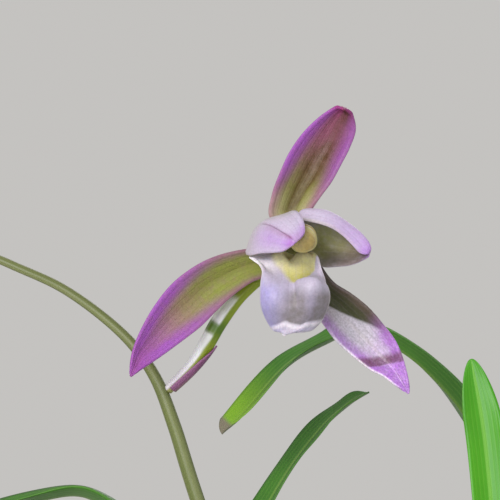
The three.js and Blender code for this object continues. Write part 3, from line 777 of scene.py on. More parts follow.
@dataclass
class Organ:
    """A sepal, petal or lip: a thin face that runs smoothly through rails from its foot to its tip."""

    node: str
    slot: str
    finish: Finish
    front: int
    stations: Sequence[Station]
    rows: int = 110
    columns: int = 56
    thickness: float = 0.62

    def relief(self, u: Array, v: Array) -> Array:
        """Gives how far the face stands proud of its rails, towards its inner side, in millimetres.

        Args:
            u: Shares of the way along it.
            v: Shares of the way across it.

        Returns:
            The relief at each point.
        """
        return np.zeros_like(u)

    def masks(self, u: Array, v: Array, inner: bool) -> dict[str, Any]:
        """Gives the values of the masks that the finish reads.

        Args:
            u: Shares of the way along it.
            v: Shares of the way across it.
            inner: Whether they are for its inner face.

        Returns:
            The values at each point, by the mask's name.
        """
        raise NotImplementedError

    def build(self) -> None:
        """Makes the organ in place of its node."""
        rails = np.asarray(self.stations, float)
        lengthwise = spline(rails.reshape(len(rails), -1), self.rows).reshape(self.rows, rails.shape[1], 3)
        middle = np.stack([spline(row, self.columns) for row in lengthwise]) + FLOWER
        u, v = shares(self.rows, self.columns)
        middle = middle + (self.front * self.relief(u, v))[..., None] * grid_normals(middle)
        margin = np.minimum(1 - np.abs(2 * v - 1), (1 - u) * 2.0)
        half = self.thickness / 2 * (0.3 + 0.7 * ease(margin, 0.0, 0.09))
        Surface().shell(middle, half, self.masks, self.front).piece(
            f"{self.node}_face", self.finish, self.slot, [self.node],
        )


@dataclass
class Sepal(Organ):
    """A broad pointed sepal: yellow green from its foot up the middle, lilac at the margins and the tip.

    The colours' shares and reaches are the left sepal's, for its first and its second margin where there are two.
    """

    margins: tuple[float, float] = (1.0, 0.75)
    green_reach: float = 0.65
    green: float = 1.0
    green_width: float = 1.12
    brown: float = 0.2
    rose: float = 0.15
    tip: tuple[float, float] = (0.56, 0.92)
    margin_start: tuple[float, float] = (0.3, 0.62)
    # Strength of painted shade over the second half and towards the tip, laid with the brown streak
    painted_shade: float = 0.0
    foot: float = 0.0

    def relief(self, u: Array, v: Array) -> Array:
        """A shallow channel along the midrib and faint waves between the veins.

        Args:
            u: Shares of the way along it.
            v: Shares of the way across it.

        Returns:
            The relief at each point.
        """
        across = 2 * v - 1
        channel = -0.015 * bell(across, 0.0, 0.16) * ease(u, 0.05, 0.2) * fade(u, 0.85, 0.98)
        return channel + 0.035 * np.sin(across * 14 + 2 * u) * (1 - np.abs(across)) * ease(u, 0, 0.2)

    def masks(self, u: Array, v: Array, inner: bool) -> dict[str, Any]:
        """Green in the lower middle, lilac outwards and tipwards, brown along the midrib, painted shade beside it.

        Args:
            u: Shares of the way along it.
            v: Shares of the way across it.
            inner: Whether they are for its inner face.

        Returns:
            The values at each point, by the mask's name.
        """
        across = 2 * v - 1
        middle = fade(np.abs(across) / self.green_width + 0.25 * ease(u, 0.25, 0.8), 0.5, 1.05)
        tipward = fade(u, self.green_reach - 0.3, self.green_reach + 0.22)
        first = self.margins[0] * ease(-across + 0.15 * ease(u, 0.2, 0.7), 0.5, 1.0)
        second = self.margins[1] * ease(across + 0.2 * ease(u, 0.2, 0.7), 0.45, 1.05)
        margin = (first + second) * (0.2 + 0.8 * ease(u, *self.margin_start))
        # The brown midrib streak, widened on its second side by painted shade
        tall = bell(across, -0.14 + 0.1 * u, 0.2 + 0.3 * u) + 1.7 * self.painted_shade * bell(across, 0.14, 0.26)
        tall = tall * ease(u, 0.02, 0.24) * (1 - 0.8 * ease(u, 0.42, 0.68))
        # Painted shade over the second half, and across the second side near the tip
        beside = 0.75 * bell(across, 0.42, 0.4) * ease(u, 0.25, 0.45)
        beside = beside + 0.5 * ease(across, -0.05, 0.5) * ease(u, 0.74, 0.86)
        low = bell(across, -0.72, 0.42) + 0.6 * bell(across, 0.62, 0.34)
        return {
            "warm": self.green * middle * tipward * (1.0 if inner else 0.8),
            "blush": np.clip(margin + 0.8 * ease(u, *self.tip), 0, 1),
            "streak": np.clip(self.brown * tall + self.painted_shade * beside, 0, 0.9) * (1.0 if inner else 0.3),
            "rose": self.rose * (ease(u, 0.76, 0.96) + 0.5 * ease(u, 0.35, 0.7) * bell(v, 0.52, 0.34)),
            "pale": self.foot * low * fade(u, 0.1, 0.36),
        }


@dataclass
class FrostedSepal(Sepal):
    """The lower right sepal: frosted grey lilac, brighter lilac at margins and tip, painted olive shadow above."""

    def masks(self, u: Array, v: Array, inner: bool) -> dict[str, Any]:
        """A painted olive shadow on the upper third, lilac margins, a painted shadow band before the purple tip.

        Args:
            u: Shares of the way along it.
            v: Shares of the way across it.
            inner: Whether they are for its inner face.

        Returns:
            The values at each point, by the mask's name.
        """
        across = 2 * v - 1
        # Where the painted shadow on the upper part ends: further along towards the second margin
        reach = 0.35 + 0.26 * across
        first = 0.75 * ease(-across, 0.35, 0.85) * ease(u, 0.24, 0.36)
        second = 0.8 * ease(across, 0.3, 0.9) * ease(u, 0.45, 0.62)
        # Edges of a painted shadow band across the sepal before its tip
        high = np.interp(across, (-0.95, -0.31, 0.46, 0.94), (0.585, 0.652, 0.7, 0.722))
        low = np.interp(across, (-1.0, -0.55, 0.11, 0.94), (0.655, 0.712, 0.744, 0.781))
        painted_shade_bar = ease(u, high - 0.015, high + 0.02) * fade(u, low - 0.008, low + 0.008)
        crease = 0.4 * bell(across, 0.05, 0.1) * ease(u, 0.78, 0.82) * fade(u, 0.93, 1.0)
        # Painted shade on the second margin where the upper part lies in painted shadow
        rim = 0.4 * bell(across, 0.95, 0.25) * fade(u, 0.55, 0.7)
        return {
            # Painted shadow: the upper part dark olive, ending in a sharp slanting line
            "warm": (1.3 if inner else 0.8) * fade(u, reach - 0.03, reach + 0.03),
            "blush": np.clip(first + second + 0.35 * ease(u, 0.52, 0.64) + 0.6 * ease(u, 0.66, 0.76), 0, 1),
            "rose": (1.0 if inner else 0.4) * np.clip(painted_shade_bar + crease + rim, 0, 1),
            "streak": bell(across, 0.0, 0.1) * ease(u, 0.3, 0.5) * fade(u, 0.6, 0.8),
            # Painted highlight: a thin bright line along the first margin
            "pale": bell(across, -0.98, 0.035) * ease(u, 0.36, 0.45) * fade(u, 0.85, 0.97),
        }


@dataclass
class HoodPetal(Organ):
    """The left petal, folded forward over the column: pale lilac outside, pink along the crease and tip."""

    def relief(self, u: Array, v: Array) -> Array:
        """A narrow crease along the midrib, seen from outside as a line, and a soft bulge beside it.

        Args:
            u: Shares of the way along it.
            v: Shares of the way across it.

        Returns:
            The relief at each point.
        """
        across = 2 * v - 1
        crease = 0.3 * bell(across, 0.02, 0.05) * ease(u, 0.25, 0.42) * fade(u, 0.85, 1.0)
        return crease - 0.25 * bell(across, 0.45, 0.3) * bell(u, 0.55, 0.2)

    def masks(self, u: Array, v: Array, inner: bool) -> dict[str, Any]:
        """Purple below the crease and round the tip, a fine dark line in the crease, green grey at the foot.

        Args:
            u: Shares of the way along it.
            v: Shares of the way across it.
            inner: Whether they are for its inner face.

        Returns:
            The values at each point, by the mask's name.
        """
        across = 2 * v - 1
        edge = 0.45 * ease(across, 0.1, 0.7) * fade(u, 0.45, 0.6)
        low = bell(across, -0.42, 0.4) * ease(u, 0.3, 0.55)
        rim = 0.55 * ease(across, 0.35, 0.9) * ease(u, 0.62, 0.8)
        line = bell(across, 0.02, 0.035 + 0.05 * ease(u, 0.6, 0.8)) * ease(u, 0.36, 0.44) * fade(u, 0.78, 0.9)
        haze = 0.3 * bell(across, -0.08, 0.13) * ease(u, 0.4, 0.55) * fade(u, 0.7, 0.9)
        return {
            "warm": (0.8 if inner else 0.25) * fade(u, 0.3, 0.55) + (0.0 if inner else edge),
            "blush": np.clip(0.55 * low + 0.42 * ease(u, 0.66, 0.86) + 0.5 * rim, 0, 1),
            "streak": np.clip(line + haze + 0.2 * ease(u, 0.72, 0.9), 0, 1),
        }


@dataclass
class SpreadPetal(Organ):
    """The right petal, cupped, its upper margin rolled forward: pale lilac rim, greenish grey floor."""

    def masks(self, u: Array, v: Array, inner: bool) -> dict[str, Any]:
        """Greenish in the cup, lilac on the rim, pink at the tip, painted shade in the cup and at the rim.

        Args:
            u: Shares of the way along it.
            v: Shares of the way across it.
            inner: Whether they are for its inner face.

        Returns:
            The values at each point, by the mask's name.
        """
        cup = np.clip(bell(v, 0.3, 0.36) * fade(u, 0.62, 0.98) * 1.1, 0, 1)
        # Painted shade along the outer edge of the rolled margin
        rim = 0.4 * ease(v, 0.93, 1.0) * fade(u, 0.6, 0.9)
        # Painted shade low in the cup, deepening towards the tip
        low = 0.62 * fade(v, 0.08, 0.42) * ease(u, 0.1, 0.35)
        return {
            "warm": cup if inner else rim,
            "blush": np.clip(0.6 * ease(u, 0.6, 0.98) + (0.1 if inner else 0.38) * ease(u, 0.2, 0.6), 0, 1),
            # Pink purple under the rolled rim near the tip, partly painted shade
            "streak": 0.5 * ease(u, 0.45, 0.75) * bell(v, 0.58, 0.22) if inner else 0.0,
            "shade": np.clip(low + 0.3 * ease(u, 0.35, 0.65), 0, 0.7) if inner else 0.0,
        }


@dataclass
class Lip(Organ):
    """The lip: erect side lobes, two yellow ridges in the throat, and a broad mid lobe that curls down."""

    @staticmethod
    def brink(across: Array) -> Array:
        """Share of the way along at which the throat ends and the mid lobe begins."""
        return np.interp(across, (-0.5, -0.03, 0.14, 0.28, 0.45, 0.8), (0.43, 0.445, 0.458, 0.478, 0.49, 0.52))

    @staticmethod
    def hem(across: Array) -> Array:
        """Share of the way along at which the mid lobe's wavy hem, with its painted highlight, begins."""
        places = (-0.8, -0.46, -0.16, 0.02, 0.25, 0.38, 0.64, 0.9)
        return np.interp(across, places, (0.89, 0.868, 0.826, 0.845, 0.885, 0.86, 0.855, 0.84))

    def relief(self, u: Array, v: Array) -> Array:
        """The cheek's ledge over the throat, the groove, the curled margin and faint swellings.

        Args:
            u: Shares of the way along it.
            v: Shares of the way across it.

        Returns:
            The relief at each point.
        """
        across = 2 * v - 1
        brink, hem = self.brink(across), self.hem(across)
        side = ease(across, 0.02, 0.2) * (1 - 0.8 * ease(across, 0.5, 0.85))
        ledge = 0.7 * ease(u, brink - 0.016, brink + 0.016) * fade(u, 0.53, 0.72) * side
        curl = 0.25 * ease(u, hem - 0.02, hem + 0.02) * fade(u, 0.93, 0.99) * fade(np.abs(across), 0.75, 0.95)
        return ledge + curl + 0.03 * np.sin(across * 15 + 3 * u) * ease(u, 0.5, 0.7)

    def masks(self, u: Array, v: Array, inner: bool) -> dict[str, Any]:
        """Yellow green throat, bluish lilac left, painted shade from the groove rightwards, painted light.

        Args:
            u: Shares of the way along it.
            v: Shares of the way across it.
            inner: Whether they are for its inner face.

        Returns:
            The values at each point, by the mask's name.
        """
        across = 2 * v - 1
        brink, hem = self.brink(across), self.hem(across)
        left = np.interp(u, (0.0, 0.08, 0.2, 0.3, 0.36, 0.4, 0.44), (-0.8, -0.64, -0.46, -0.42, -0.32, -0.2, -0.08))
        right = np.interp(u, (0.0, 0.14, 0.25, 0.33, 0.42, 0.47), (1.4, 1.15, 0.76, 0.66, 0.5, 0.3))
        throat = ease(across - left, -0.13, 0.13) * ease(right - across, -0.04, 0.06)
        throat = throat * (0.85 + 0.15 * ease(u, 0.18, 0.4)) * fade(u, brink - 0.014, brink + 0.014)
        warm = throat * (1.0 if inner else 0.4)
        bluish = ease(-across, 0.0, 0.7) * ease(u, 0.4, 0.6) + 0.4 * bell(across, 0.45, 0.25) * ease(u, 0.55, 0.7)
        # Painted shade along the groove, low on the first side, and over a lit line in the groove
        painted_shade_bar = 0.82 * bell(across, 0.0, 0.27) * ease(u, 0.48, 0.6)
        painted_shade_bar = painted_shade_bar + 0.42 * bell(across, -0.38, 0.27) * ease(u, 0.58, 0.78)
        painted_shade_bar = painted_shade_bar + 0.3 * bell(across, 0.04, 0.06) * ease(u, 0.49, 0.55) * fade(u, 0.75, 0.85)
        # Painted shade over the right side and the lower part
        painted_shade = 0.62 * ease(across, 0.36, 0.66) * ease(u, 0.55, 0.66)
        painted_shade = painted_shade + 0.3 * ease(u, 0.68, 0.8) * ease(across, -0.1, 0.25)
        painted_shade = painted_shade + 0.34 * ease(u, 0.56, 0.67) * ease(across, 0.08, 0.22)
        # Whitish left side lobe, partly its own colour and partly painted light where the hood shades it
        lobe = ease(-across, 0.3, 0.6) * fade(u, 0.3, 0.42)
        # Painted highlights along the curled hem and the lower rim, over a slightly paler hem
        edge = 0.55 * bell(u, hem + 0.016, 0.022) + 0.1 * ease(u, hem, hem + 0.02) + 0.4 * ease(u, 0.955, 0.985)
        # Painted light in the upper throat, stronger on the left, where the hood and cap shade it
        bright = 0.4 + 0.6 * ease(1 - 2 * v, -0.35, 0.15)
        return {
            "warm": warm,
            "blush": np.clip(bluish, 0, 1),
            "streak": np.clip(painted_shade_bar + painted_shade, 0, 0.85) * fade(u, hem - 0.02, hem + 0.015),
            # pale: the side lobe, the hem's painted highlights and painted highlight lines along both margins
            "pale": np.clip(0.8 * lobe + edge + 0.4 * ease(np.abs(across), 0.9, 0.98), 0, 1),
            "cream": bright * ease(warm, 0.0, 0.5) * fade(u, 0.22, 0.42),
        }


@dataclass
class Flower:
    """The open flower: three sepals, two petals, the lip, the column with its cap, and the ovary's bract."""

    dorsal: Sequence[Station] = (
        ((-2.2, 5, 3.4), (-0.4, 5.4, 4.1), (1.6, 5, 3.7)),
        ((-5, 3.8, 6.1), (-1.4, 5.4, 6.5), (2.3, 3.8, 6.5)),
        ((-4.5, 3.2, 10.1), (0, 5.8, 10.1), (4.1, 3.2, 9.4)),
        ((-3.2, 3, 13.7), (1.6, 6, 13.1), (6.3, 3.2, 12.4)),
        ((-1.4, 3, 17.6), (3.4, 6, 16.6), (8.1, 3.2, 15.7)),
        ((1.1, 3.2, 21.2), (5.2, 5.8, 19.8), (9.5, 3.4, 18.4)),
        ((4.1, 3, 24.1), (6.8, 5, 22.9), (10.6, 3, 21.6)),
        ((6.6, 2.4, 25.7), (8.4, 3.4, 25.4), (10.1, 2.4, 24.3)),
        ((7.6, 1.2, 25.8), (8.3, 0.8, 25.3), (8.9, 1.2, 25.3)),
    )
    left: Sequence[Station] = (
        ((-3.3, 5.2, 0.2), (-2.7, 5.6, -1.6), (-1.2, 5.2, -2.6)),
        ((-6.3, 4.2, 0.4), (-5.6, 5.2, -2.2), (-5.2, 4.4, -4.7)),
        ((-10.3, 2.8, 0), (-9.2, 4.4, -3.1), (-8.3, 3, -5.9)),
        ((-14.6, 1.6, -1.1), (-13, 3.8, -4.9), (-11.7, 1.8, -8.3)),
        ((-18.4, 0.8, -2.9), (-16.4, 3.2, -7), (-14.6, 1, -11)),
        ((-22.35, 0.2, -5.9), (-19.4, 2.4, -9.9), (-17.3, 0.4, -13.7)),
        ((-25.35, -0.4, -9.55), (-22.9, 1.6, -13.1), (-20.5, 0, -16.2)),
        ((-27.7, -1, -13.5), (-25.9, 0.6, -16.4), (-23.9, -0.6, -18.7)),
        ((-29.5, -1.8, -17.8), (-28.3, -0.8, -19.1), (-26.8, -1.4, -20.7)),
        ((-30.1, -2.6, -21.8), (-29.9, -2.6, -22.7), (-29.3, -2.6, -22.3)),
    )
    right: Sequence[Station] = (
        ((1, 5.2, -2.6), (2.4, 5.6, -1.9), (3.4, 5.2, -0.6)),
        ((0.5, 4.4, -6.8), (2.7, 5.6, -4.9), (4.7, 4.2, -3.2)),
        ((2, 4, -10.1), (4.5, 6, -7.9), (6.8, 4, -5.9)),
        ((4.5, 4, -13.1), (7.2, 6.4, -10.6), (9.9, 4, -7.9)),
        ((7, 4.6, -16.4), (9.9, 7, -13.5), (13, 4.4, -10.4)),
        ((9.9, 5.2, -19.1), (12.8, 7.4, -16.4), (15.7, 5, -13.5)),
        ((13, 5.6, -21.6), (15.3, 7.4, -19.1), (18, 5.4, -16.6)),
        ((15.7, 5.6, -23), (17.6, 7, -21.6), (19.4, 5.6, -20)),
        ((18, 5.4, -24.7), (19.1, 6.2, -23.9), (20.2, 5.4, -23.2)),
        ((19.8, 5.2, -25.7), (20.3, 5.2, -26.1), (20.5, 5.2, -25.5)),
    )
    hood: Sequence[Station] = (
        ((-2.2, 3.6, -0.2), (-2.4, 3.8, 1), (-2, 3.6, 2.4)),
        ((-5.8, 2.6, -0.7), (-5, 3.6, 2.5), (-2.8, 2.8, 4.8)),
        ((-9, -0.2, -0.7), (-7.3, 1.4, 3.5), (-3.1, 0.8, 5.8)),
        ((-8.5, -3.5, -1), (-6.4, -2.6, 4.5), (-1.8, -2.2, 6.1)),
        ((-6.6, -6.7, -0.6), (-4.6, -6.6, 4.1), (-0.4, -5.2, 7)),
        ((-4.5, -9.4, -0.5), (-2.9, -9.8, 3.1), (0.7, -8.2, 5.9)),
        ((-2.8, -11.2, -0.3), (-1.6, -11.6, 2.3), (1.2, -10.2, 4.2)),
        ((-1.5, -12.2, 0.4), (-0.8, -12.6, 1.7), (1.1, -11.6, 2.9)),
        ((-0.7, -12.7, 1.1), (-0.3, -12.9, 1.4), (0.3, -12.5, 1.9)),
    )
    spread: Sequence[Station] = (
        ((2.1, 3.8, -0.7), (2.5, 4.2, 0.8), (2.4, 3.8, 2.2), (2.2, 3.2, 3)),
        ((3.6, 3.2, -2.6), (3.9, 5.2, 1.1), (0.9, 2, 6.5), (0.4, -0.4, 5.2)),
        ((5.1, 2.4, -3.1), (5.4, 6, 1.1), (4.3, 1, 7), (3.6, -2, 4.8)),
        ((7.1, 1.8, -3), (7.2, 5.8, 0.9), (6.9, 0.4, 6.1), (6.2, -2.8, 3.9)),
        ((9.1, 1, -2.8), (9.2, 4.6, 0.5), (9.2, -0.2, 4.6), (8.2, -3, 2.5)),
        ((10.8, 0, -2.3), (10.9, 2.8, 0), (11.1, -1, 3.1), (9.8, -3.1, 0.9)),
        ((11.9, -1, -1.7), (12.1, 0.8, -0.4), (12.4, -1.8, 1.6), (11, -3.1, -0.4)),
        ((12.4, -1.6, -1.3), (12.6, -0.7, -0.6), (12.9, -2.1, 0.5), (12, -2.9, -0.8)),
        ((12.7, -2, -1), (12.8, -1.8, -0.7), (12.9, -2.1, -0.3), (12.6, -2.4, -0.8)),
    )
    lip: Sequence[Station] = (
        ((-1.8, 3.2, -1), (-1.5, 3.4, -1.3), (-0.9, 3.5, -1.1), (-0.1, 3.7, -1.5), (0.7, 3.5, -1.1),
         (1.2, 3.4, -1.3), (1.6, 3.2, -1)),
        ((-5, 0.8, -0.2), (-4.2, 0.4, -1.2), (-2.8, -0.4, -0.4), (-1.4, 0.8, -2.3), (0.4, -0.4, -0.5),
         (2.2, 0.2, -0.8), (2.9, -0.2, -0.5)),
        ((-8.6, -1.8, -1.2), (-5.9, -2.2, -1.8), (-3, -2.5, -0.9), (-1.4, -1.6, -2.1), (0.9, -2.5, -0.9),
         (2.8, -2.2, -1.5), (3.7, -2.8, -1.2)),
        ((-7.2, -3, -2), (-5.4, -4.2, -3.4), (-2.6, -4.6, -2.6), (-0.8, -4.6, -2.9), (1.1, -4.6, -2.6),
         (3, -4.2, -3.4), (4.2, -4.8, -3.1)),
        ((-6.4, -6, -3.7), (-5, -7, -4.6), (-2.6, -7.2, -5.2), (-0.7, -6.9, -5.2), (1.2, -6.8, -4.6),
         (3, -6.4, -4.7), (4.8, -6.2, -4.9)),
        ((-6.6, -7.4, -5.8), (-5.1, -8.6, -6.2), (-3, -8.8, -6.6), (-0.7, -8.2, -6.8), (1.5, -9.2, -5.7),
         (3.3, -9.2, -5.4), (5, -7.4, -6)),
        ((-6.7, -7.8, -7.8), (-5.2, -9.2, -8), (-3.2, -9.5, -8.2), (-0.5, -8.9, -8.6), (1.8, -10.2, -7.2),
         (3.8, -9.8, -7.2), (5.6, -7.6, -7.7)),
        ((-6.6, -7.2, -9.8), (-5.1, -8.8, -9.9), (-3.2, -9.4, -10), (-0.6, -9.2, -10.2), (1.8, -10.1, -9.4),
         (3.9, -9.4, -9.3), (5.6, -7.2, -9.4)),
        ((-5.9, -5.8, -11.8), (-4.7, -7.6, -11.9), (-3, -8.5, -12), (-1.1, -8.3, -12.2), (1.5, -9, -11.6),
         (3.3, -8.2, -11.5), (4.8, -6.2, -11.6)),
        ((-4.7, -5, -13.8), (-3.9, -6.5, -13.7), (-2.9, -7.4, -13.8), (-1.5, -7.5, -14.1), (0.8, -7.7, -13.5),
         (2.4, -7, -13.4), (3.9, -5.4, -13.1)),
        ((-3.8, -5.2, -14.3), (-3.3, -6.3, -14.5), (-2.9, -7.1, -14.8), (-2.4, -7.5, -15.3), (-1.2, -7.4, -14.8),
         (0.7, -7.1, -14.7), (2.3, -6, -14.2)),
    )
    column: Sequence[Point] = (
        (0.3, 3.8, 0.9, 1.4), (0.7, 1, 1.9, 1.75), (0.9, -2, 2.4, 2.05), (1, -4.6, 2.4, 2.3), (1.1, -6.2, 2.2, 2.35),
    )
    cap: Sequence[Point] = (
        (1.1, -6.6, 2.1, 2.35), (1.1, -7.4, 1.9, 2.3), (1.1, -8.3, 1.6, 1.7), (1, -8.8, 1.4, 0.6),
    )
    ovary: Sequence[Point] = (
        (-23.6, 10, -25.6, 0.9), (-19.6, 9, -21.6, 1.1), (-16.7, 8.6, -17.6, 1.4), (-14.2, 8.4, -13.2, 1.5),
        (-10.8, 8.2, -8.6, 1.4), (-7, 8.2, -5.2, 1.2), (-3.4, 8, -1.8, 1.2), (-0.8, 7, 0.2, 1.6), (0, 5.6, 0.8, 2.4),
        (0.2, 4.4, 0.9, 2.6),
    )
    bract_reach: tuple[float, float] = (0.02, 0.25)
    bract_outward: Point = (0.75, 0.0, -0.66)
    bract_clasp: float = 90.0
    bract_gap: float = 0.3
    bract_flare: float = 0.05
    bract_thickness: float = 0.3

    def build_organs(self) -> None:
        """Makes the sepals, petals and lip."""
        Sepal(
            "dorsal_sepal", "sepal", Finish.SEPAL, -1, self.dorsal, margins=(1.0, 0.8), green_reach=0.5, green=0.95,
            green_width=0.95, brown=0.75, rose=0.9, tip=(0.75, 1.1), margin_start=(0.22, 0.5), painted_shade=0.75, foot=0.9,
        ).build()
        Sepal("left_sepal", "sepal", Finish.SEPAL, 1, self.left).build()
        FrostedSepal("right_sepal", "sepal", Finish.PALE_SEPAL, 1, self.right).build()
        HoodPetal("left_petal", "petal", Finish.PETAL, -1, self.hood).build()
        SpreadPetal("right_petal", "petal", Finish.PETAL, 1, self.spread, columns=72).build()
        Lip("lip", "lip", Finish.LIP, 1, self.lip, rows=140, columns=90).build()

    def build_column(self) -> None:
        """Makes the column and the anther cap on its tip."""
        Surface().tube(self.placed(self.column), 40, 40, UP, masks=lambda t, a: {
            "warm": 0.4 * ease(t, 0.3, 0.9), "blush": fade(t, 0.2, 0.7),
        }).piece("column_body", Finish.COLUMN, "column", ["column"])

        def lobed(t: Array, a: Array) -> Array:
            """The cap's section, with two lobes, a flat side and a waist."""
            flat, lobe, swollen = (np.clip(np.cos(a + turn), 0, 1) for turn in (0.85, 2.3, -2.3))
            return 1 - 0.07 * flat**4 + 0.07 * lobe**4 + 0.16 * swollen**3 - 0.04 * bell(t, 0.47, 0.05)

        Surface().tube(self.placed(self.cap), 64, 40, UP, lobed, lambda t, a: {
            # The cap's tan lower part, with painted shade darkening one side
            "warm": ease(t, 0.5, 0.62) * (0.25 + 0.75 * ease(np.cos(a + 1.9), -0.6, 0.9)),
            "blush": fade(t, 0.4, 0.46),
            # Painted shade in the cap's waist, darker on one side
            "streak": 0.55 * bell(t, 0.49, 0.03) * ease(np.cos(a + 1.7), -0.2, 0.8),
        }).piece("anther_cap_shell", Finish.COLUMN, "anther", ["anther_cap"])

    def build_ovary(self) -> None:
        """Makes the six-ribbed ovary on its stalk, with a painted highlight on its upper side and a painted shadow
        band.
        """
        def masks(t: Array, a: Array) -> dict[str, Any]:
            """Painted white highlights up top, a painted deep green shadow band between them, a flush at the foot.

            Args:
                t: Shares of the way along it.
                a: Angles round it.

            Returns:
                The values at each point, by the mask's name.
            """
            # Painted highlight on the upper side, broken by the painted shadow band
            lit = ease(np.cos(a - 0.8) - 0.15 * fade(t, 0.2, 0.3), 0.36, 0.62)
            return {
                "pale": lit * ease(np.abs(t - 0.305), 0.015, 0.035) * fade(t, 0.42, 0.455),
                # Painted shadow band across the stalk
                "deep": bell(t, 0.31, 0.05),
                "flush": 0.5 * bell(t, 0.0, 0.12),
                "cream": ease(t, 0.8, 0.9),
            }

        Surface().tube(
            self.placed(self.ovary), 48, 120, UP, lambda t, a: 1 + 0.05 * np.cos(6 * a + 2.5 * t) * fade(t, 0.7, 0.85),
            masks,
        ).piece("ovary_stalk", Finish.OVARY, "stalk", ["ovary"])

    def build_bract(self) -> None:
        """Makes the bract as a thin pointed blade that clasps the lower side of the stalk's foot."""
        rows, columns, fine = 44, 25, 400
        stalk = spline(self.placed(self.ovary), fine)
        start, end = (int(share * (fine - 1)) for share in self.bract_reach)
        at = np.linspace(start, end, rows).round().astype(int)
        side, other = (s[at] for s in sides_along(stalk[:, :3], AWAY))
        t, edge = np.linspace(0, 1, rows), np.linspace(-1, 1, columns)
        outward = np.asarray(self.bract_outward)
        middle_angle = math.atan2(float(other.mean(0) @ outward), float(side.mean(0) @ outward))
        clasp = np.radians(self.bract_clasp) * np.clip(1 - t**2.2, 0.02, 1) ** 0.75
        radius = stalk[at, 3] + self.bract_gap + self.bract_flare * t**2
        round_it = swing(middle_angle + clasp[:, None] * edge, side[:, None], other[:, None])
        middle = stalk[at, None, :3] + radius[:, None, None] * round_it
        Surface().shell(middle, self.bract_thickness / 2, lambda u, v, inner: {
            "blush": (0.5 + 0.5 * ease(u, 0.1, 0.8)) * (1 - 0.7 * ease(np.abs(2 * v - 1), 0.6, 1.0)),
            "warm": bell(v, 0.5, 0.2) * fade(u, 0.1, 0.5),
        }).piece("flower_bract_blade", Finish.BRACT, "bract", ["flower_bract"])

    @staticmethod
    def placed(points: Sequence[Point]) -> Array:
        """Moves points, each with its radius, from beside the flower's middle to where they are."""
        return np.asarray(points, float) + np.array([*FLOWER, 0])

    def build(self) -> None:
        """Makes the whole flower."""
        self.build_organs()
        self.build_column()
        self.build_ovary()
        self.build_bract()


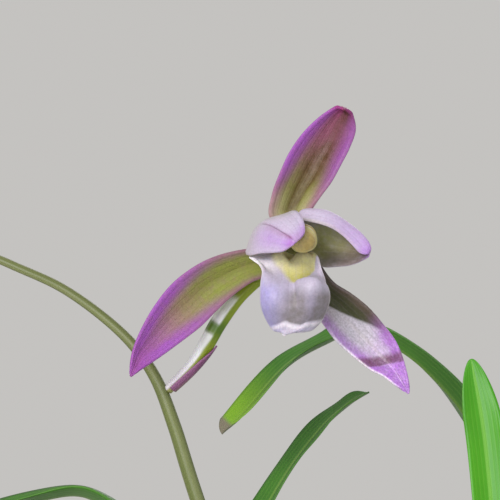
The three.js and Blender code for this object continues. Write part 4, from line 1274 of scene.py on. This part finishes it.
@dataclass
class FlowerStem:
    """The scape: a slender leaning stem with clasping sheaths low down and closed buds at its end."""

    knots: Sequence[Point] = (
        (0, 3, 118, 2.2), (-2, 3, 160, 2.1), (-7, 2, 210, 1.9), (-16, 1, 260, 1.7), (-28, 0, 305, 1.5),
        (-39.6, 0, 339.2, 1.35), (-44, 0, 353.2, 1.25), (-47.7, 0, 362.3, 1.1), (-53.5, 0, 369.8, 0.95),
        (-63.5, 0, 377.5, 0.85), (-73.9, 0, 382.4, 0.8), (-88, 1, 388.5, 0.75), (-101, 2, 397, 0.7),
        (-110, 3, 408, 0.65),
    )
    sheaths: Sequence[tuple[float, float, float]] = ((0.09, 0.175, 0.4), (0.2, 0.275, 3.6), (0.305, 0.37, 0.9))
    buds: Sequence[tuple[float, Point, float]] = (
        (0.805, (-101, -12, 375), 2.9),
        (0.888, (-98, 4, 415), 2.6),
        (0.954, (-124, 6, 403), 2.2),
    )
    bud_stalk: float = 0.75
    bud_sag: float = 1.2
    sheath_gap: float = 0.22
    sheath_flare: float = 0.5
    sheath_thickness: float = 0.24
    sheath_swelling: float = 0.1
    fine: int = 2000

    def build_stem(self) -> None:
        """Makes the bare stem."""
        Surface().tube(
            self.knots, 40, 420, section=lambda t, a: 1 - 0.85 * ease(t, 0.98, 1.0),
            masks=lambda t, a: {
                "pale": 0.5 + 0.5 * np.sin(3 * a + 9 * t),
                "flush": ease(t, 0.35, 0.8) * (0.6 + 0.4 * np.cos(a)),
            },
        ).piece("flower_stem", Finish.STEM, "stem", ["scape"])

    def build_sheath(self, number: int, start: float, end: float, turned_to: float) -> None:
        """Makes one clasping sheath whose mouth is cut slanting, with its point standing a little off.

        Args:
            number: Its number.
            start: Share of the stem's way at its foot.
            end: Share of the stem's way at its point.
            turned_to: Angle round the stem at which its point stands.
        """
        rows, columns = 30, 40
        way = spline(self.knots, self.fine + 1)
        side, other = sides_along(way[:, :3], AWAY)
        angle = np.linspace(0, TURN, columns)
        toward = (0.5 + 0.5 * np.cos(angle - turned_to)) ** 3
        share = np.linspace(0, 1, rows)[:, None]
        reach = start + (end - start) * share * (0.55 + 0.45 * toward)
        at = np.clip((reach * self.fine).round().astype(int), 0, self.fine)
        swollen = self.sheath_swelling * np.sin(math.pi * share)
        radius = way[at, 3] + self.sheath_gap + self.sheath_flare * share**3 * toward + swollen
        grid = way[at, :3] + radius[..., None] * swing(angle, side[at], other[at])
        Surface().shell(grid, self.sheath_thickness / 2, lambda u, v, inner: {
            "pale": fade(u, 0.0, 0.5), "flush": ease(u, 0.5, 1.0),
        }).piece(f"stem_sheath_{number}", Finish.STEM_SHEATH, "stem")

    def build_bud(self, number: int, share: float, tip: Point, radius: float) -> None:
        """Makes one closed bud on its stalk, its three sepals meeting in seams.

        Args:
            number: Its number.
            share: Share of the stem's way at which it stands.
            tip: Where it ends.
            radius: Its greatest radius.
        """
        way = spline(self.knots, self.fine + 1)[:, :3]
        at = int(round(share * self.fine))
        span = np.asarray(tip, float) - way[at]
        length = float(np.linalg.norm(span))
        along = unit(span)
        angle = math.acos(float(along @ unit(way[at + 1] - way[at - 1])))
        clear = (self.bud_stalk * (1 + abs(math.cos(angle)))) / math.sin(angle) + GAP
        profile = (
            (0.4 / length, self.bud_stalk * 1.1), (clear / length, self.bud_stalk), (0.2, 0.85), (0.38, 0.95),
            (0.5, radius * 0.75), (0.68, radius), (0.85, radius * 0.7), (0.97, radius * 0.18),
        )
        sag = np.array([0, 0, self.bud_sag])
        knots = [(*(way[at] + span * t - sag * math.sin(math.pi * t)), r) for t, r in profile]
        Surface().tube(
            knots, 36, 90, AWAY if abs(along[1]) < 0.8 else UP,
            lambda t, a: 1 - 0.09 * ease(t, 0.45, 0.65) * np.abs(np.cos(1.5 * a)) ** 10,
            lambda t, a: {
                "blush": ease(t, 0.6, 1.0) * 0.8 + 0.5 * ease(t, 0.45, 0.6) * np.abs(np.cos(1.5 * a)) ** 6,
                "warm": fade(t, 0.3, 0.7),
            },
        ).piece(f"bud_{number}_closed", Finish.BUD, "bud", [f"bud_{number}"])

    def build(self) -> None:
        """Makes the stem, its sheaths and its buds."""
        self.build_stem()
        for number, sheath in enumerate(self.sheaths, 1):
            self.build_sheath(number, *sheath)
        for number, bud in enumerate(self.buds, 1):
            self.build_bud(number, *bud)


@dataclass(frozen=True)
class Blade:
    """One leaf: where it stands on its bulb's fan and the way that it takes."""

    offset: float
    toward: float
    width: float
    lean: float = 0.0
    droop: float = 0.0
    length: float = 0.0
    swing: float = 0.0
    way: tuple[Point, ...] = ()
    taper: float = 0.4
    # Share of the leaf's length at its tip that turns grey, with a yellow green band before it
    grey_end: float = 0.0
    young: bool = False


@dataclass
class Growth:
    """A pseudobulb with the fan of leaves that grew from it, and dry sheaths round its foot."""

    number: int
    at: tuple[float, float]
    fan: float
    blades: Sequence[Blade]
    above: float = 3.0
    half_along: float = 7.5
    half_across: float = 6.2
    half_up: float = 12.0
    foot_fold: float = 60.0
    blade_fold: float = 20.0
    foot_width: float = 0.5
    thickness: float = 0.5
    ripple: float = 0.25
    sheaths: int = 5
    sheath_foot: float = -3.0
    sheath_thickness: float = 0.26
    sheath_heights: tuple[float, float] = (13.0, 20.0)
    sheath_spreads: tuple[float, float] = (0.55, 0.8)
    sheath_flares: tuple[float, float] = (0.1, 0.9)
    seed: int = 40

    def axes(self) -> tuple[Array, Array]:
        """Directions along and across the fan, level."""
        turn = math.radians(self.fan)
        return np.array([math.cos(turn), math.sin(turn), 0]), np.array([-math.sin(turn), math.cos(turn), 0])

    def around(self, long: Array, short: Array, angle: Array, height: Array) -> Array:
        """Finds points on ovals round the bulb.

        Args:
            long: Half of the ovals' length along the fan.
            short: Half of their width across it.
            angle: Angles round them.
            height: Heights above the level of the mix.

        Returns:
            The points.
        """
        along, across = self.axes()
        level = along * (long * np.cos(angle))[..., None] + across * (short * np.sin(angle))[..., None]
        return np.array([*self.at, MIX_LEVEL]) + level + np.array(UP) * height[..., None]

    def surface_height(self, x: float, y: float) -> float:
        """Finds how high the bulb's skin is.

        Args:
            x: Place along X.
            y: Place along Y.

        Returns:
            The height of the skin there, or of the bulb's widest part where the place lies beside it.
        """
        along, across = self.axes()
        away = np.array([x - self.at[0], y - self.at[1], 0])
        left = 1 - (away @ along / self.half_along) ** 2 - (away @ across / self.half_across) ** 2
        return MIX_LEVEL + self.above + self.half_up * math.sqrt(max(0.0, left))

    def foot(self, blade: Blade) -> tuple[float, float, float]:
        """Sets a leaf's foot just high enough that its keel and folded margins clear the bulb.

        Args:
            blade: The leaf.

        Returns:
            Where its keel begins.
        """
        along, _ = self.axes()
        x, y = self.at[0] + blade.offset * along[0], self.at[1] + blade.offset * along[1]
        half = blade.width / 2 * self.foot_width
        fold, turn, lean = (math.radians(a) for a in (self.foot_fold, blade.toward, blade.lean))
        lowest = 0.0
        for share in (-1, -0.5, 0, 0.5, 1):
            inward = -abs(share) * half * math.sin(fold)
            beside = share * half * math.cos(fold)
            px = x + inward * math.cos(turn) - beside * math.sin(turn)
            py = y + inward * math.sin(turn) + beside * math.cos(turn)
            lowest = max(lowest, self.surface_height(px, py) + inward * math.sin(lean))
        return x, y, lowest + 2 * GAP

    def way(self, blade: Blade) -> list[Point]:
        """Finds the points that a leaf's keel passes.

        Args:
            blade: The leaf.

        Returns:
            The points from its foot to its tip.
        """
        way = [self.foot(blade), *blade.way]
        if blade.way:
            return way
        x, y, z = way[0]
        parts = 9
        step = blade.length / parts
        for i in range(parts):
            t = (i + 0.5) / parts
            angle = math.radians(blade.lean + (blade.droop - blade.lean) * t**1.4)
            heading = math.radians(blade.toward + blade.swing * t * t)
            x += step * math.sin(angle) * math.cos(heading)
            y += step * math.sin(angle) * math.sin(heading)
            z += step * math.cos(angle)
            way.append((x, y, z))
        return way

    def half_width(self, blade: Blade, t: Array) -> Array:
        """Half the width of a leaf along its way.

        Args:
            blade: The leaf.
            t: Shares of its way.

        Returns:
            The half width at each.
        """
        foot = self.foot_width + (1 - self.foot_width) * np.minimum(1, t / 0.4) ** 0.8
        left = np.minimum(1, (1 - t) / blade.taper)
        return blade.width / 2 * np.maximum(foot * (0.75 * np.sqrt(1 - (1 - left) ** 2) + 0.25 * left), 0.03)

    def build_leaf(self, number: int, blade: Blade) -> None:
        """Makes one keeled blade with thin margins and a ridge under its midrib.

        Args:
            number: The leaf's number on its bulb.
            blade: The leaf.
        """
        rows, columns, fine = 150, 13, 900
        t = 1 - (1 - np.linspace(0, 1, rows)) ** 1.35
        at = np.linspace(0, 1, fine)
        track = spline(self.way(blade), fine)
        lines = (track, np.gradient(track, axis=0))
        path, slope = (np.stack([np.interp(t, at, line[:, k]) for k in range(3)], 1) for line in lines)
        along = unit(slope)
        turn = math.radians(blade.toward + 90)
        level = np.array([math.cos(turn), math.sin(turn), 0])
        side = unit(level - (along @ level)[:, None] * along)
        face = np.cross(along, side)
        folded = (1 - np.minimum(1, t / 0.35)) ** 1.5
        fold = np.radians(self.blade_fold + (self.foot_fold - self.blade_fold) * folded)[:, None]
        half = self.half_width(blade, t)[:, None]
        edge = np.linspace(-1, 1, columns)
        ripple = self.ripple * np.sin(t * 37 + number * 2.1 + self.number)[:, None] * edge**3
        ripple = ripple * ease(t, 0.1, 0.3)[:, None]
        reach = half * edge * np.cos(fold)
        lift = half * np.abs(edge) ** 1.12 * np.sin(fold) + ripple
        middle = path[:, None] + side[:, None] * reach[..., None] + face[:, None] * lift[..., None]
        profile = 0.45 + 0.55 * (1 - np.abs(edge)) + 0.5 * bell(edge, 0, 0.13)
        thin = self.thickness / 2 * profile * (0.35 + 0.65 * fade(t, 0.9, 1.0))[:, None]
        # Grey over the leaf's very end, yellow green over a band before it
        old = blade.grey_end
        spent = ease(t, 1 - old, 1 - 0.6 * old)[:, None] if old else 0.0
        ageing = 0.75 * ease(t, 1 - 3 * old, 1 - 1.3 * old)[:, None] if old else 0.0
        node = f"leaf_{self.number}_{number}"
        Surface().shell(middle, thin, lambda u, v, inner: {
            "rib": bell(v, 0.5, 0.045 if inner else 0.06), "spent": spent, "ageing": ageing,
        }).piece(f"{node}_blade", Finish.YOUNG_LEAF if blade.young else Finish.LEAF, "leaf", [node])

    def build_bulb(self) -> None:
        """Makes the bulb's body, faintly ribbed."""
        rows, columns = 40, 48
        turn = np.linspace(0.04, math.pi - 0.04, rows)[:, None]
        angle = np.linspace(0, TURN, columns, endpoint=False)
        flat = np.sin(turn) * (1 + 0.025 * np.cos(10 * angle) * np.sin(turn))
        height = self.above - self.half_up * np.cos(turn)
        rings = self.around(self.half_along * flat, self.half_across * flat, angle, height)
        u = np.linspace(0, 1, rows)[:, None]
        node = f"pseudobulb_{self.number}"
        Surface().skin(
            rings, [rings[0].mean(axis=0), rings[-1].mean(axis=0)], pale=ease(u, 0.4, 0.9), flush=fade(u, 0.3, 0.7),
        ).piece(f"{node}_body", Finish.BULB, "bulb", [node])

    def build_sheaths(self) -> None:
        """Makes the dry pointed sheaths that hug the bulb, each torn to its own height."""
        rng = np.random.default_rng(self.seed + self.number)
        surface = Surface()
        share = np.linspace(0, 1, 26)[:, None]
        edge = np.linspace(-1, 1, 15)
        for k in range(self.sheaths):
            middle_angle = TURN * (k + rng.uniform(-0.2, 0.2)) / self.sheaths
            height = rng.uniform(*self.sheath_heights)
            spread = rng.uniform(*self.sheath_spreads)
            flare = rng.uniform(*self.sheath_flares)
            z = self.sheath_foot + height * share
            bulge = np.sqrt(np.maximum(0.03, 1 - np.minimum(1.0, np.abs(z - self.above) / self.half_up) ** 2))
            bulge = np.where(z > self.above, np.maximum(bulge, 0.55), bulge)
            out = 0.5 + flare * share**2
            angle = middle_angle + (spread * (1 - share**2.4) + 0.02) * edge
            grid = self.around(self.half_along * bulge + out, self.half_across * bulge + out, angle, z)
            surface.shell(grid, self.sheath_thickness / 2)
        surface.piece(f"bulb_{self.number}_dry_sheaths", Finish.DRY, "bulb")

    def build(self) -> None:
        """Makes the bulb, its dry sheaths and its leaves."""
        self.build_bulb()
        self.build_sheaths()
        for number, blade in enumerate(self.blades, 1):
            self.build_leaf(number, blade)


@dataclass
class Pot:
    """The clay pot, turned on a wheel, with a rolled rim and four drain holes beside its middle."""

    height: float = 150.0
    foot: float = 50.0
    shoulder: float = 68.0
    rim: float = 73.0
    rim_height: float = 18.0
    inner_top: float = 66.0
    inner_floor: float = 45.5
    floor: float = 8.0
    foot_round: float = 1.8
    under_round: float = 1.6
    rim_round: float = 2.4
    inner_round: float = 2.0
    foot_ring: float = 8.0
    floor_bevel: float = 3.0
    wheel_marks: float = 0.12
    drain_radius: float = 5.0
    drain_circle: float = 27.0
    drains: int = 4

    @staticmethod
    def corner(x: float, z: float, radius: float, start: float) -> list[tuple[float, float]]:
        """Points of a quarter round about (x, z) from an angle in degrees."""
        angles = [math.radians(t) for t in np.linspace(start, start + 90, 6)]
        return [(x + radius * math.cos(a), z + radius * math.sin(a)) for a in angles]

    def profile(self) -> Array:
        """Draws the outline from the foot up the outside, over the rim and down the inside to the floor.

        Returns:
            Its points as radius and height.
        """
        top = self.height - self.rim_height
        wall = [
            (self.foot + (self.shoulder - self.foot) * s + self.wheel_marks * math.sin(24 * s), 2 + (top - 2) * s)
            for s in np.linspace(0.02, 0.985, 30)
        ]
        narrowing, depth = self.inner_floor - self.inner_top, self.floor + self.floor_bevel - self.height
        start = self.height - self.inner_round
        inside = [(self.inner_top + narrowing * s, start + depth * s) for s in np.linspace(0.02, 1.0, 12)]
        return np.asarray([
            (self.foot - self.foot_ring, 0.0),
            *self.corner(self.foot - self.foot_round, self.foot_round, self.foot_round, -90),
            *wall,
            (self.shoulder + 0.6, top + 0.2),
            *self.corner(self.rim - self.under_round, top + 2.2, self.under_round, -90),
            *self.corner(self.rim - self.rim_round, self.height - self.rim_round, self.rim_round, 0),
            *self.corner(self.inner_top + self.rim_round, self.height - self.inner_round, self.inner_round, 90),
            *inside,
            (self.inner_floor - self.floor_bevel, self.floor),
        ])

    def build(self) -> None:
        """Makes the pot and drills its drain holes."""
        outline = self.profile()
        rings = turned(outline[:, :1], outline[:, 1:], 144)
        self.drill(Surface().skin(rings, [[0, 0, 0], [0, 0, self.floor]], flat=True).piece(
            "clay_pot", Finish.CLAY, "clay", ["pot"],
        ))

    def drill(self, made: bpy.types.Object) -> None:
        """Cuts the drain holes through the pot's floor.

        Args:
            made: The pot.
        """
        cutters = bpy.data.meshes.new("drills")
        work = bmesh.new()
        radius = self.drain_radius * MM
        for k in range(self.drains):
            turn = TURN * (k + 0.5) / self.drains
            drill = bmesh.ops.create_cone(
                work, cap_ends=True, segments=32, radius1=radius, radius2=radius, depth=3 * self.floor * MM,
            )
            away = Vector((math.cos(turn), math.sin(turn), 0)) * self.drain_circle * MM
            bmesh.ops.translate(work, verts=drill["verts"], vec=away)
        work.to_mesh(cutters)
        work.free()
        tool = bpy.data.objects.new("drills", cutters)
        bpy.context.scene.collection.objects.link(tool)
        cut = made.modifiers.new("drains", "BOOLEAN")
        cut.object = tool
        cut.solver = "EXACT"
        drilled = bpy.data.meshes.new_from_object(made.evaluated_get(bpy.context.evaluated_depsgraph_get()))
        made.modifiers.clear()
        made.data = drilled
        bpy.data.objects.remove(tool)


@dataclass
class PlantingMix:
    """The mix that fills the pot: a dark bed with bark chips and clay grit lying on it."""

    radius: float = 64.0
    side: Sequence[tuple[float, float, float]] = ((45.0, 8.3, 0.0), (63.7, 136.0, 0.0))
    foot: float = 8.3
    sunk: float = 1.0
    roughness: float = 0.8
    bed_tone: float = 0.08
    chips: int = 900
    corners: int = 11
    chip_sizes: tuple[float, float] = (1.8, 4.2)
    chip_widths: tuple[float, float] = (0.55, 0.9)
    chip_heights: tuple[float, float] = (0.3, 0.7)
    chip_levels: tuple[float, float] = (-0.6, 1.2)
    chip_tilt: float = 0.3
    clearance: float = 6.4
    wall_clearance: float = 4.0
    bark_tones: tuple[float, float] = (0.05, 0.75)
    grit_tones: tuple[float, float] = (0.9, 1.0)
    grit_share: float = 0.12
    seed: int = 7

    def height(self, r: Array | float) -> Array:
        """Height of the bed at a distance from the middle."""
        return MIX_LEVEL + MIX_MOUND * np.cos(math.pi / 2 * np.asarray(r) / (self.radius + 2))

    def build_bed(self) -> Surface:
        """Makes the bed's rough top and its sides down to the pot's floor.

        Returns:
            The surface that holds them.
        """
        rng = np.random.default_rng(self.seed)
        sides = 96
        radii = np.linspace(self.radius - 0.5, 2.0, 26)
        rings = [*self.side, *((r, float(self.height(r)) - self.sunk, self.roughness) for r in radii)]
        radius, height, rough = np.array(rings).T[..., None]
        grid = turned(radius, height + rough * rng.uniform(-1, 1, (len(rings), sides)), sides)
        ends = [[0, 0, self.foot], [0, 0, float(self.height(0)) - self.sunk]]
        return Surface().skin(grid, ends, flat=True, tone=self.bed_tone)

    def chip(self, rng: np.random.Generator, size: float, flat: float) -> tuple[Array, Array]:
        """Makes one broken chip as the hull of random points.

        Args:
            rng: Where the points are drawn.
            size: Its half length.
            flat: Its share of that in height.

        Returns:
            Its points and triangles.
        """
        work = bmesh.new()
        ball = unit(rng.normal(size=(self.corners, 3))) * rng.uniform(0.75, 1.0, (self.corners, 1))
        for p in ball * np.array([1.0, rng.uniform(*self.chip_widths), flat]):
            work.verts.new(p * size)
        bmesh.ops.convex_hull(work, input=work.verts)
        bmesh.ops.delete(work, geom=[v for v in work.verts if not v.link_faces], context="VERTS")
        bmesh.ops.triangulate(work, faces=work.faces)
        work.verts.index_update()
        points = np.array([v.co[:] for v in work.verts])
        faces = np.array([[v.index for v in f.verts] for f in work.faces])
        work.free()
        return points, faces

    def build(self, stands: Sequence[Point]) -> None:
        """Makes the bed and strews the chips.

        Args:
            stands: Where the bulbs and the stem stand, which the chips keep clear of.
        """
        surface = self.build_bed()
        rng = np.random.default_rng(self.seed + 1)
        placed = 0
        while placed < self.chips:
            r = (self.radius - self.wall_clearance) * math.sqrt(rng.uniform())
            turn = rng.uniform(0, TURN)
            x, y = r * math.cos(turn), r * math.sin(turn)
            size = rng.uniform(*self.chip_sizes)
            if any(math.hypot(x - bx, y - by) < self.clearance + size * 0.6 for bx, by in stands):
                continue
            points, faces = self.chip(rng, size, rng.uniform(*self.chip_heights))
            spin, tip = rng.uniform(0, TURN), rng.normal(0, self.chip_tilt)
            c, s, ct, st = math.cos(spin), math.sin(spin), math.cos(tip), math.sin(tip)
            points = points @ np.array([[c, s, 0], [-s, c, 0], [0, 0, 1]])
            points = points @ np.array([[1, 0, 0], [0, ct, st], [0, -st, ct]])
            points = points + np.array([x, y, float(self.height(r)) + rng.uniform(*self.chip_levels)])
            tone = rng.uniform(*(self.grit_tones if rng.uniform() < self.grit_share else self.bark_tones))
            surface.take(points, faces, points[:, :2] * PLAN_SCALE, tone=np.full(len(points), tone))
            placed += 1
        surface.piece("bark_mix", Finish.BARK, "bark", ["planting_mix"], smooth=False)


@dataclass
class Studio:
    """A pale floor that fades into a pale surround, soft lights, and the camera at the photograph's view."""

    floor_radius: float = 2.4
    solid_radius: float = 0.8
    floor_colour: str = "#dddbd7"
    surround: str = "#eceae7"
    surround_strength: float = 0.66
    view_target: Point = (-30.0, -10.0, 385.0)
    view_distance: float = 600.0
    view_width: float = 90.0
    sensor: float = 36.0
    lights: Sequence[tuple[str, Point, float, float, str]] = (
        ("key", (-0.5, -0.95, 0.8), 0.28, 7.5, "#fff8ee"),
        ("front", (-0.5, -2.1, 0.62), 0.75, 22.0, "#f6f6ff"),
        ("back", (0.4, 1.0, 1.0), 0.8, 3.0, "#ffffff"),
    )

    def build_floor(self) -> None:
        """Makes the round floor, solid under the plant and fading out towards its rim."""
        work = bmesh.new()
        bmesh.ops.create_circle(work, cap_ends=True, segments=128, radius=self.floor_radius)
        mesh = bpy.data.meshes.new("floor")
        work.to_mesh(mesh)
        work.free()
        floor = bpy.data.objects.new("floor", mesh)
        bpy.context.scene.collection.objects.link(floor)
        paint = Shading("painted_floor", Roughness=0.9)
        grain = paint.add("TexNoise", {"Vector": paint.place, "Scale": 300})
        colour = paint.speckled(self.floor_colour, grain, 0.0, 1.0, 0.97, 1.02)
        paint.tree.links.new(colour, paint.shader.inputs["Base Color"])
        away = paint.add("VectorMath", {0: paint.place}, 1, operation="LENGTH")
        fading = paint.add("MapRange", {0: away, 1: self.solid_radius, 2: self.floor_radius, 3: 1.0, 4: 0.0})
        clear = paint.add("BsdfTransparent", {})
        both = paint.add("MixShader", {0: fading, 1: clear, 2: paint.shader.outputs[0]})
        paint.tree.links.new(both, paint.tree.nodes["Material Output"].inputs[0])
        mesh.materials.append(paint.material)

    def light(self, name: str, place: Point, size: float, power: float, colour: str) -> None:
        """Adds one soft square light that points at the flower.

        Args:
            name: Its name.
            place: Where it hangs, in metres.
            size: Its side, in metres.
            power: Its power in watts.
            colour: Its colour.
        """
        lamp = bpy.data.lights.new(name, "AREA")
        lamp.size = size
        lamp.energy = power
        lamp.color = linear(colour)[:3]
        made = bpy.data.objects.new(name, lamp)
        made.location = place
        made.rotation_euler = (Vector(FLOWER * MM) - Vector(place)).to_track_quat("-Z", "Y").to_euler()
        made.visible_camera = False
        bpy.context.scene.collection.objects.link(made)

    def build(self) -> None:
        """Makes the camera, the lights, the surround and the floor."""
        scene = bpy.context.scene
        camera = bpy.data.cameras.new("camera")
        camera.sensor_width = self.sensor
        camera.lens = self.sensor * self.view_distance / self.view_width
        camera.clip_start, camera.clip_end = 0.01, 50
        eye = bpy.data.objects.new("camera", camera)
        eye.location = Vector((np.array(self.view_target) - np.array([0, self.view_distance, 0])) * MM)
        eye.rotation_euler = (math.radians(90), 0, 0)
        scene.collection.objects.link(eye)
        scene.camera = eye
        for light in self.lights:
            self.light(*light)
        world = bpy.data.worlds.new("surround")
        world.use_nodes = True
        background = world.node_tree.nodes["Background"]
        background.inputs[0].default_value = linear(self.surround)
        background.inputs[1].default_value = self.surround_strength
        scene.world = world
        scene.view_settings.view_transform = "Standard"
        self.build_floor()


GROWTHS = (
    Growth(1, (-44, 20), 75, (
        Blade(0, 150, 11, 24, 122, 270, 8),
        Blade(5.8, 28, 9, way=(
            (-46, 35, 185), (-49, 45, 225), (-50, 55, 265), (-42, 66, 304), (-25.3, 74, 334.2), (-16.3, 76, 347),
            (-9.4, 77.5, 353.4), (-5.4, 78, 355.6),
        )),
        Blade(-5.8, 196, 12, 16, 120, 330, -14),
    )),
    Growth(2, (-12, -22), 190, (
        Blade(-5.8, 183, 9, way=(
            (-10, -22, 190), (-14, -21, 235), (-20, -21, 282), (-33, -21, 315.2), (-53.5, -22, 338.5),
            (-68.3, -23, 340.7), (-100, -26, 327.6), (-128, -30, 298), (-146, -33, 260),
        )),
        Blade(5.8, 205, 12, 20, 122, 310, -10),
        Blade(1.8, 252, 11, 13, 112, 290, 8),
    )),
    Growth(3, (26, 8), 20, (
        Blade(-5.8, 92, 7.6, taper=0.13, young=True, way=(
            (19.8, 8, 200), (18.8, 12, 260), (17.2, 16, 310), (14.6, 18.5, 346), (11.8, 20, 364.4),
        )),
        Blade(5.8, 18, 13, 15, 118, 350, 8),
        Blade(-0.5, 208, 8.4, taper=0.03, grey_end=0.05, way=(
            (26.5, 9, 185), (28, 13, 225), (29, 21, 268), (27.5, 31, 305), (22, 42, 334), (13.5, 50, 351),
            (5, 55.5, 361.2), (-3, 58.5, 366.8), (-9.5, 59.6, 368.4), (-13.9, 59, 366.8), (-22.4, 58, 361.9),
            (-31.3, 57, 352.2), (-35.6, 56.5, 348.2),
        )),
    )),
    Growth(4, (0, 38), 80, (
        Blade(5.8, 98, 12, 20, 118, 300, 10),
        Blade(-5.8, 38, 11, 26, 124, 270, 0),
        Blade(1.8, 70, 10, 13, 122, 250, -6),
    )),
    Growth(5, (20, -36), 290, (
        Blade(5.8, 282, 12, 18, 120, 290, -12),
        Blade(-5.8, 335, 12, 15, 114, 310, 10),
        Blade(1.8, 308, 11, 10, 110, 270, 4),
        Blade(-2, 262, 9, 14, 116, 250, -10),
    )),
    Growth(6, (-33, -42), 150, (
        Blade(5.8, 208, 12, 22, 124, 280, -8),
        Blade(-5.8, 246, 11, 16, 118, 270, -6),
        Blade(0, 226, 10, 8, 82, 190, 6),
    )),
)


def main() -> None:
    """Makes the plant, its pot and the studio."""
    logging.basicConfig(level=logging.INFO, format="%(name)s %(message)s")
    stem = FlowerStem()
    Studio().build()
    Pot().build()
    PlantingMix().build([*(growth.at for growth in GROWTHS), stem.knots[0][:2]])
    for growth in GROWTHS:
        growth.build()
    stem.build()
    Flower().build()


if __name__ == "__main__":
    main()
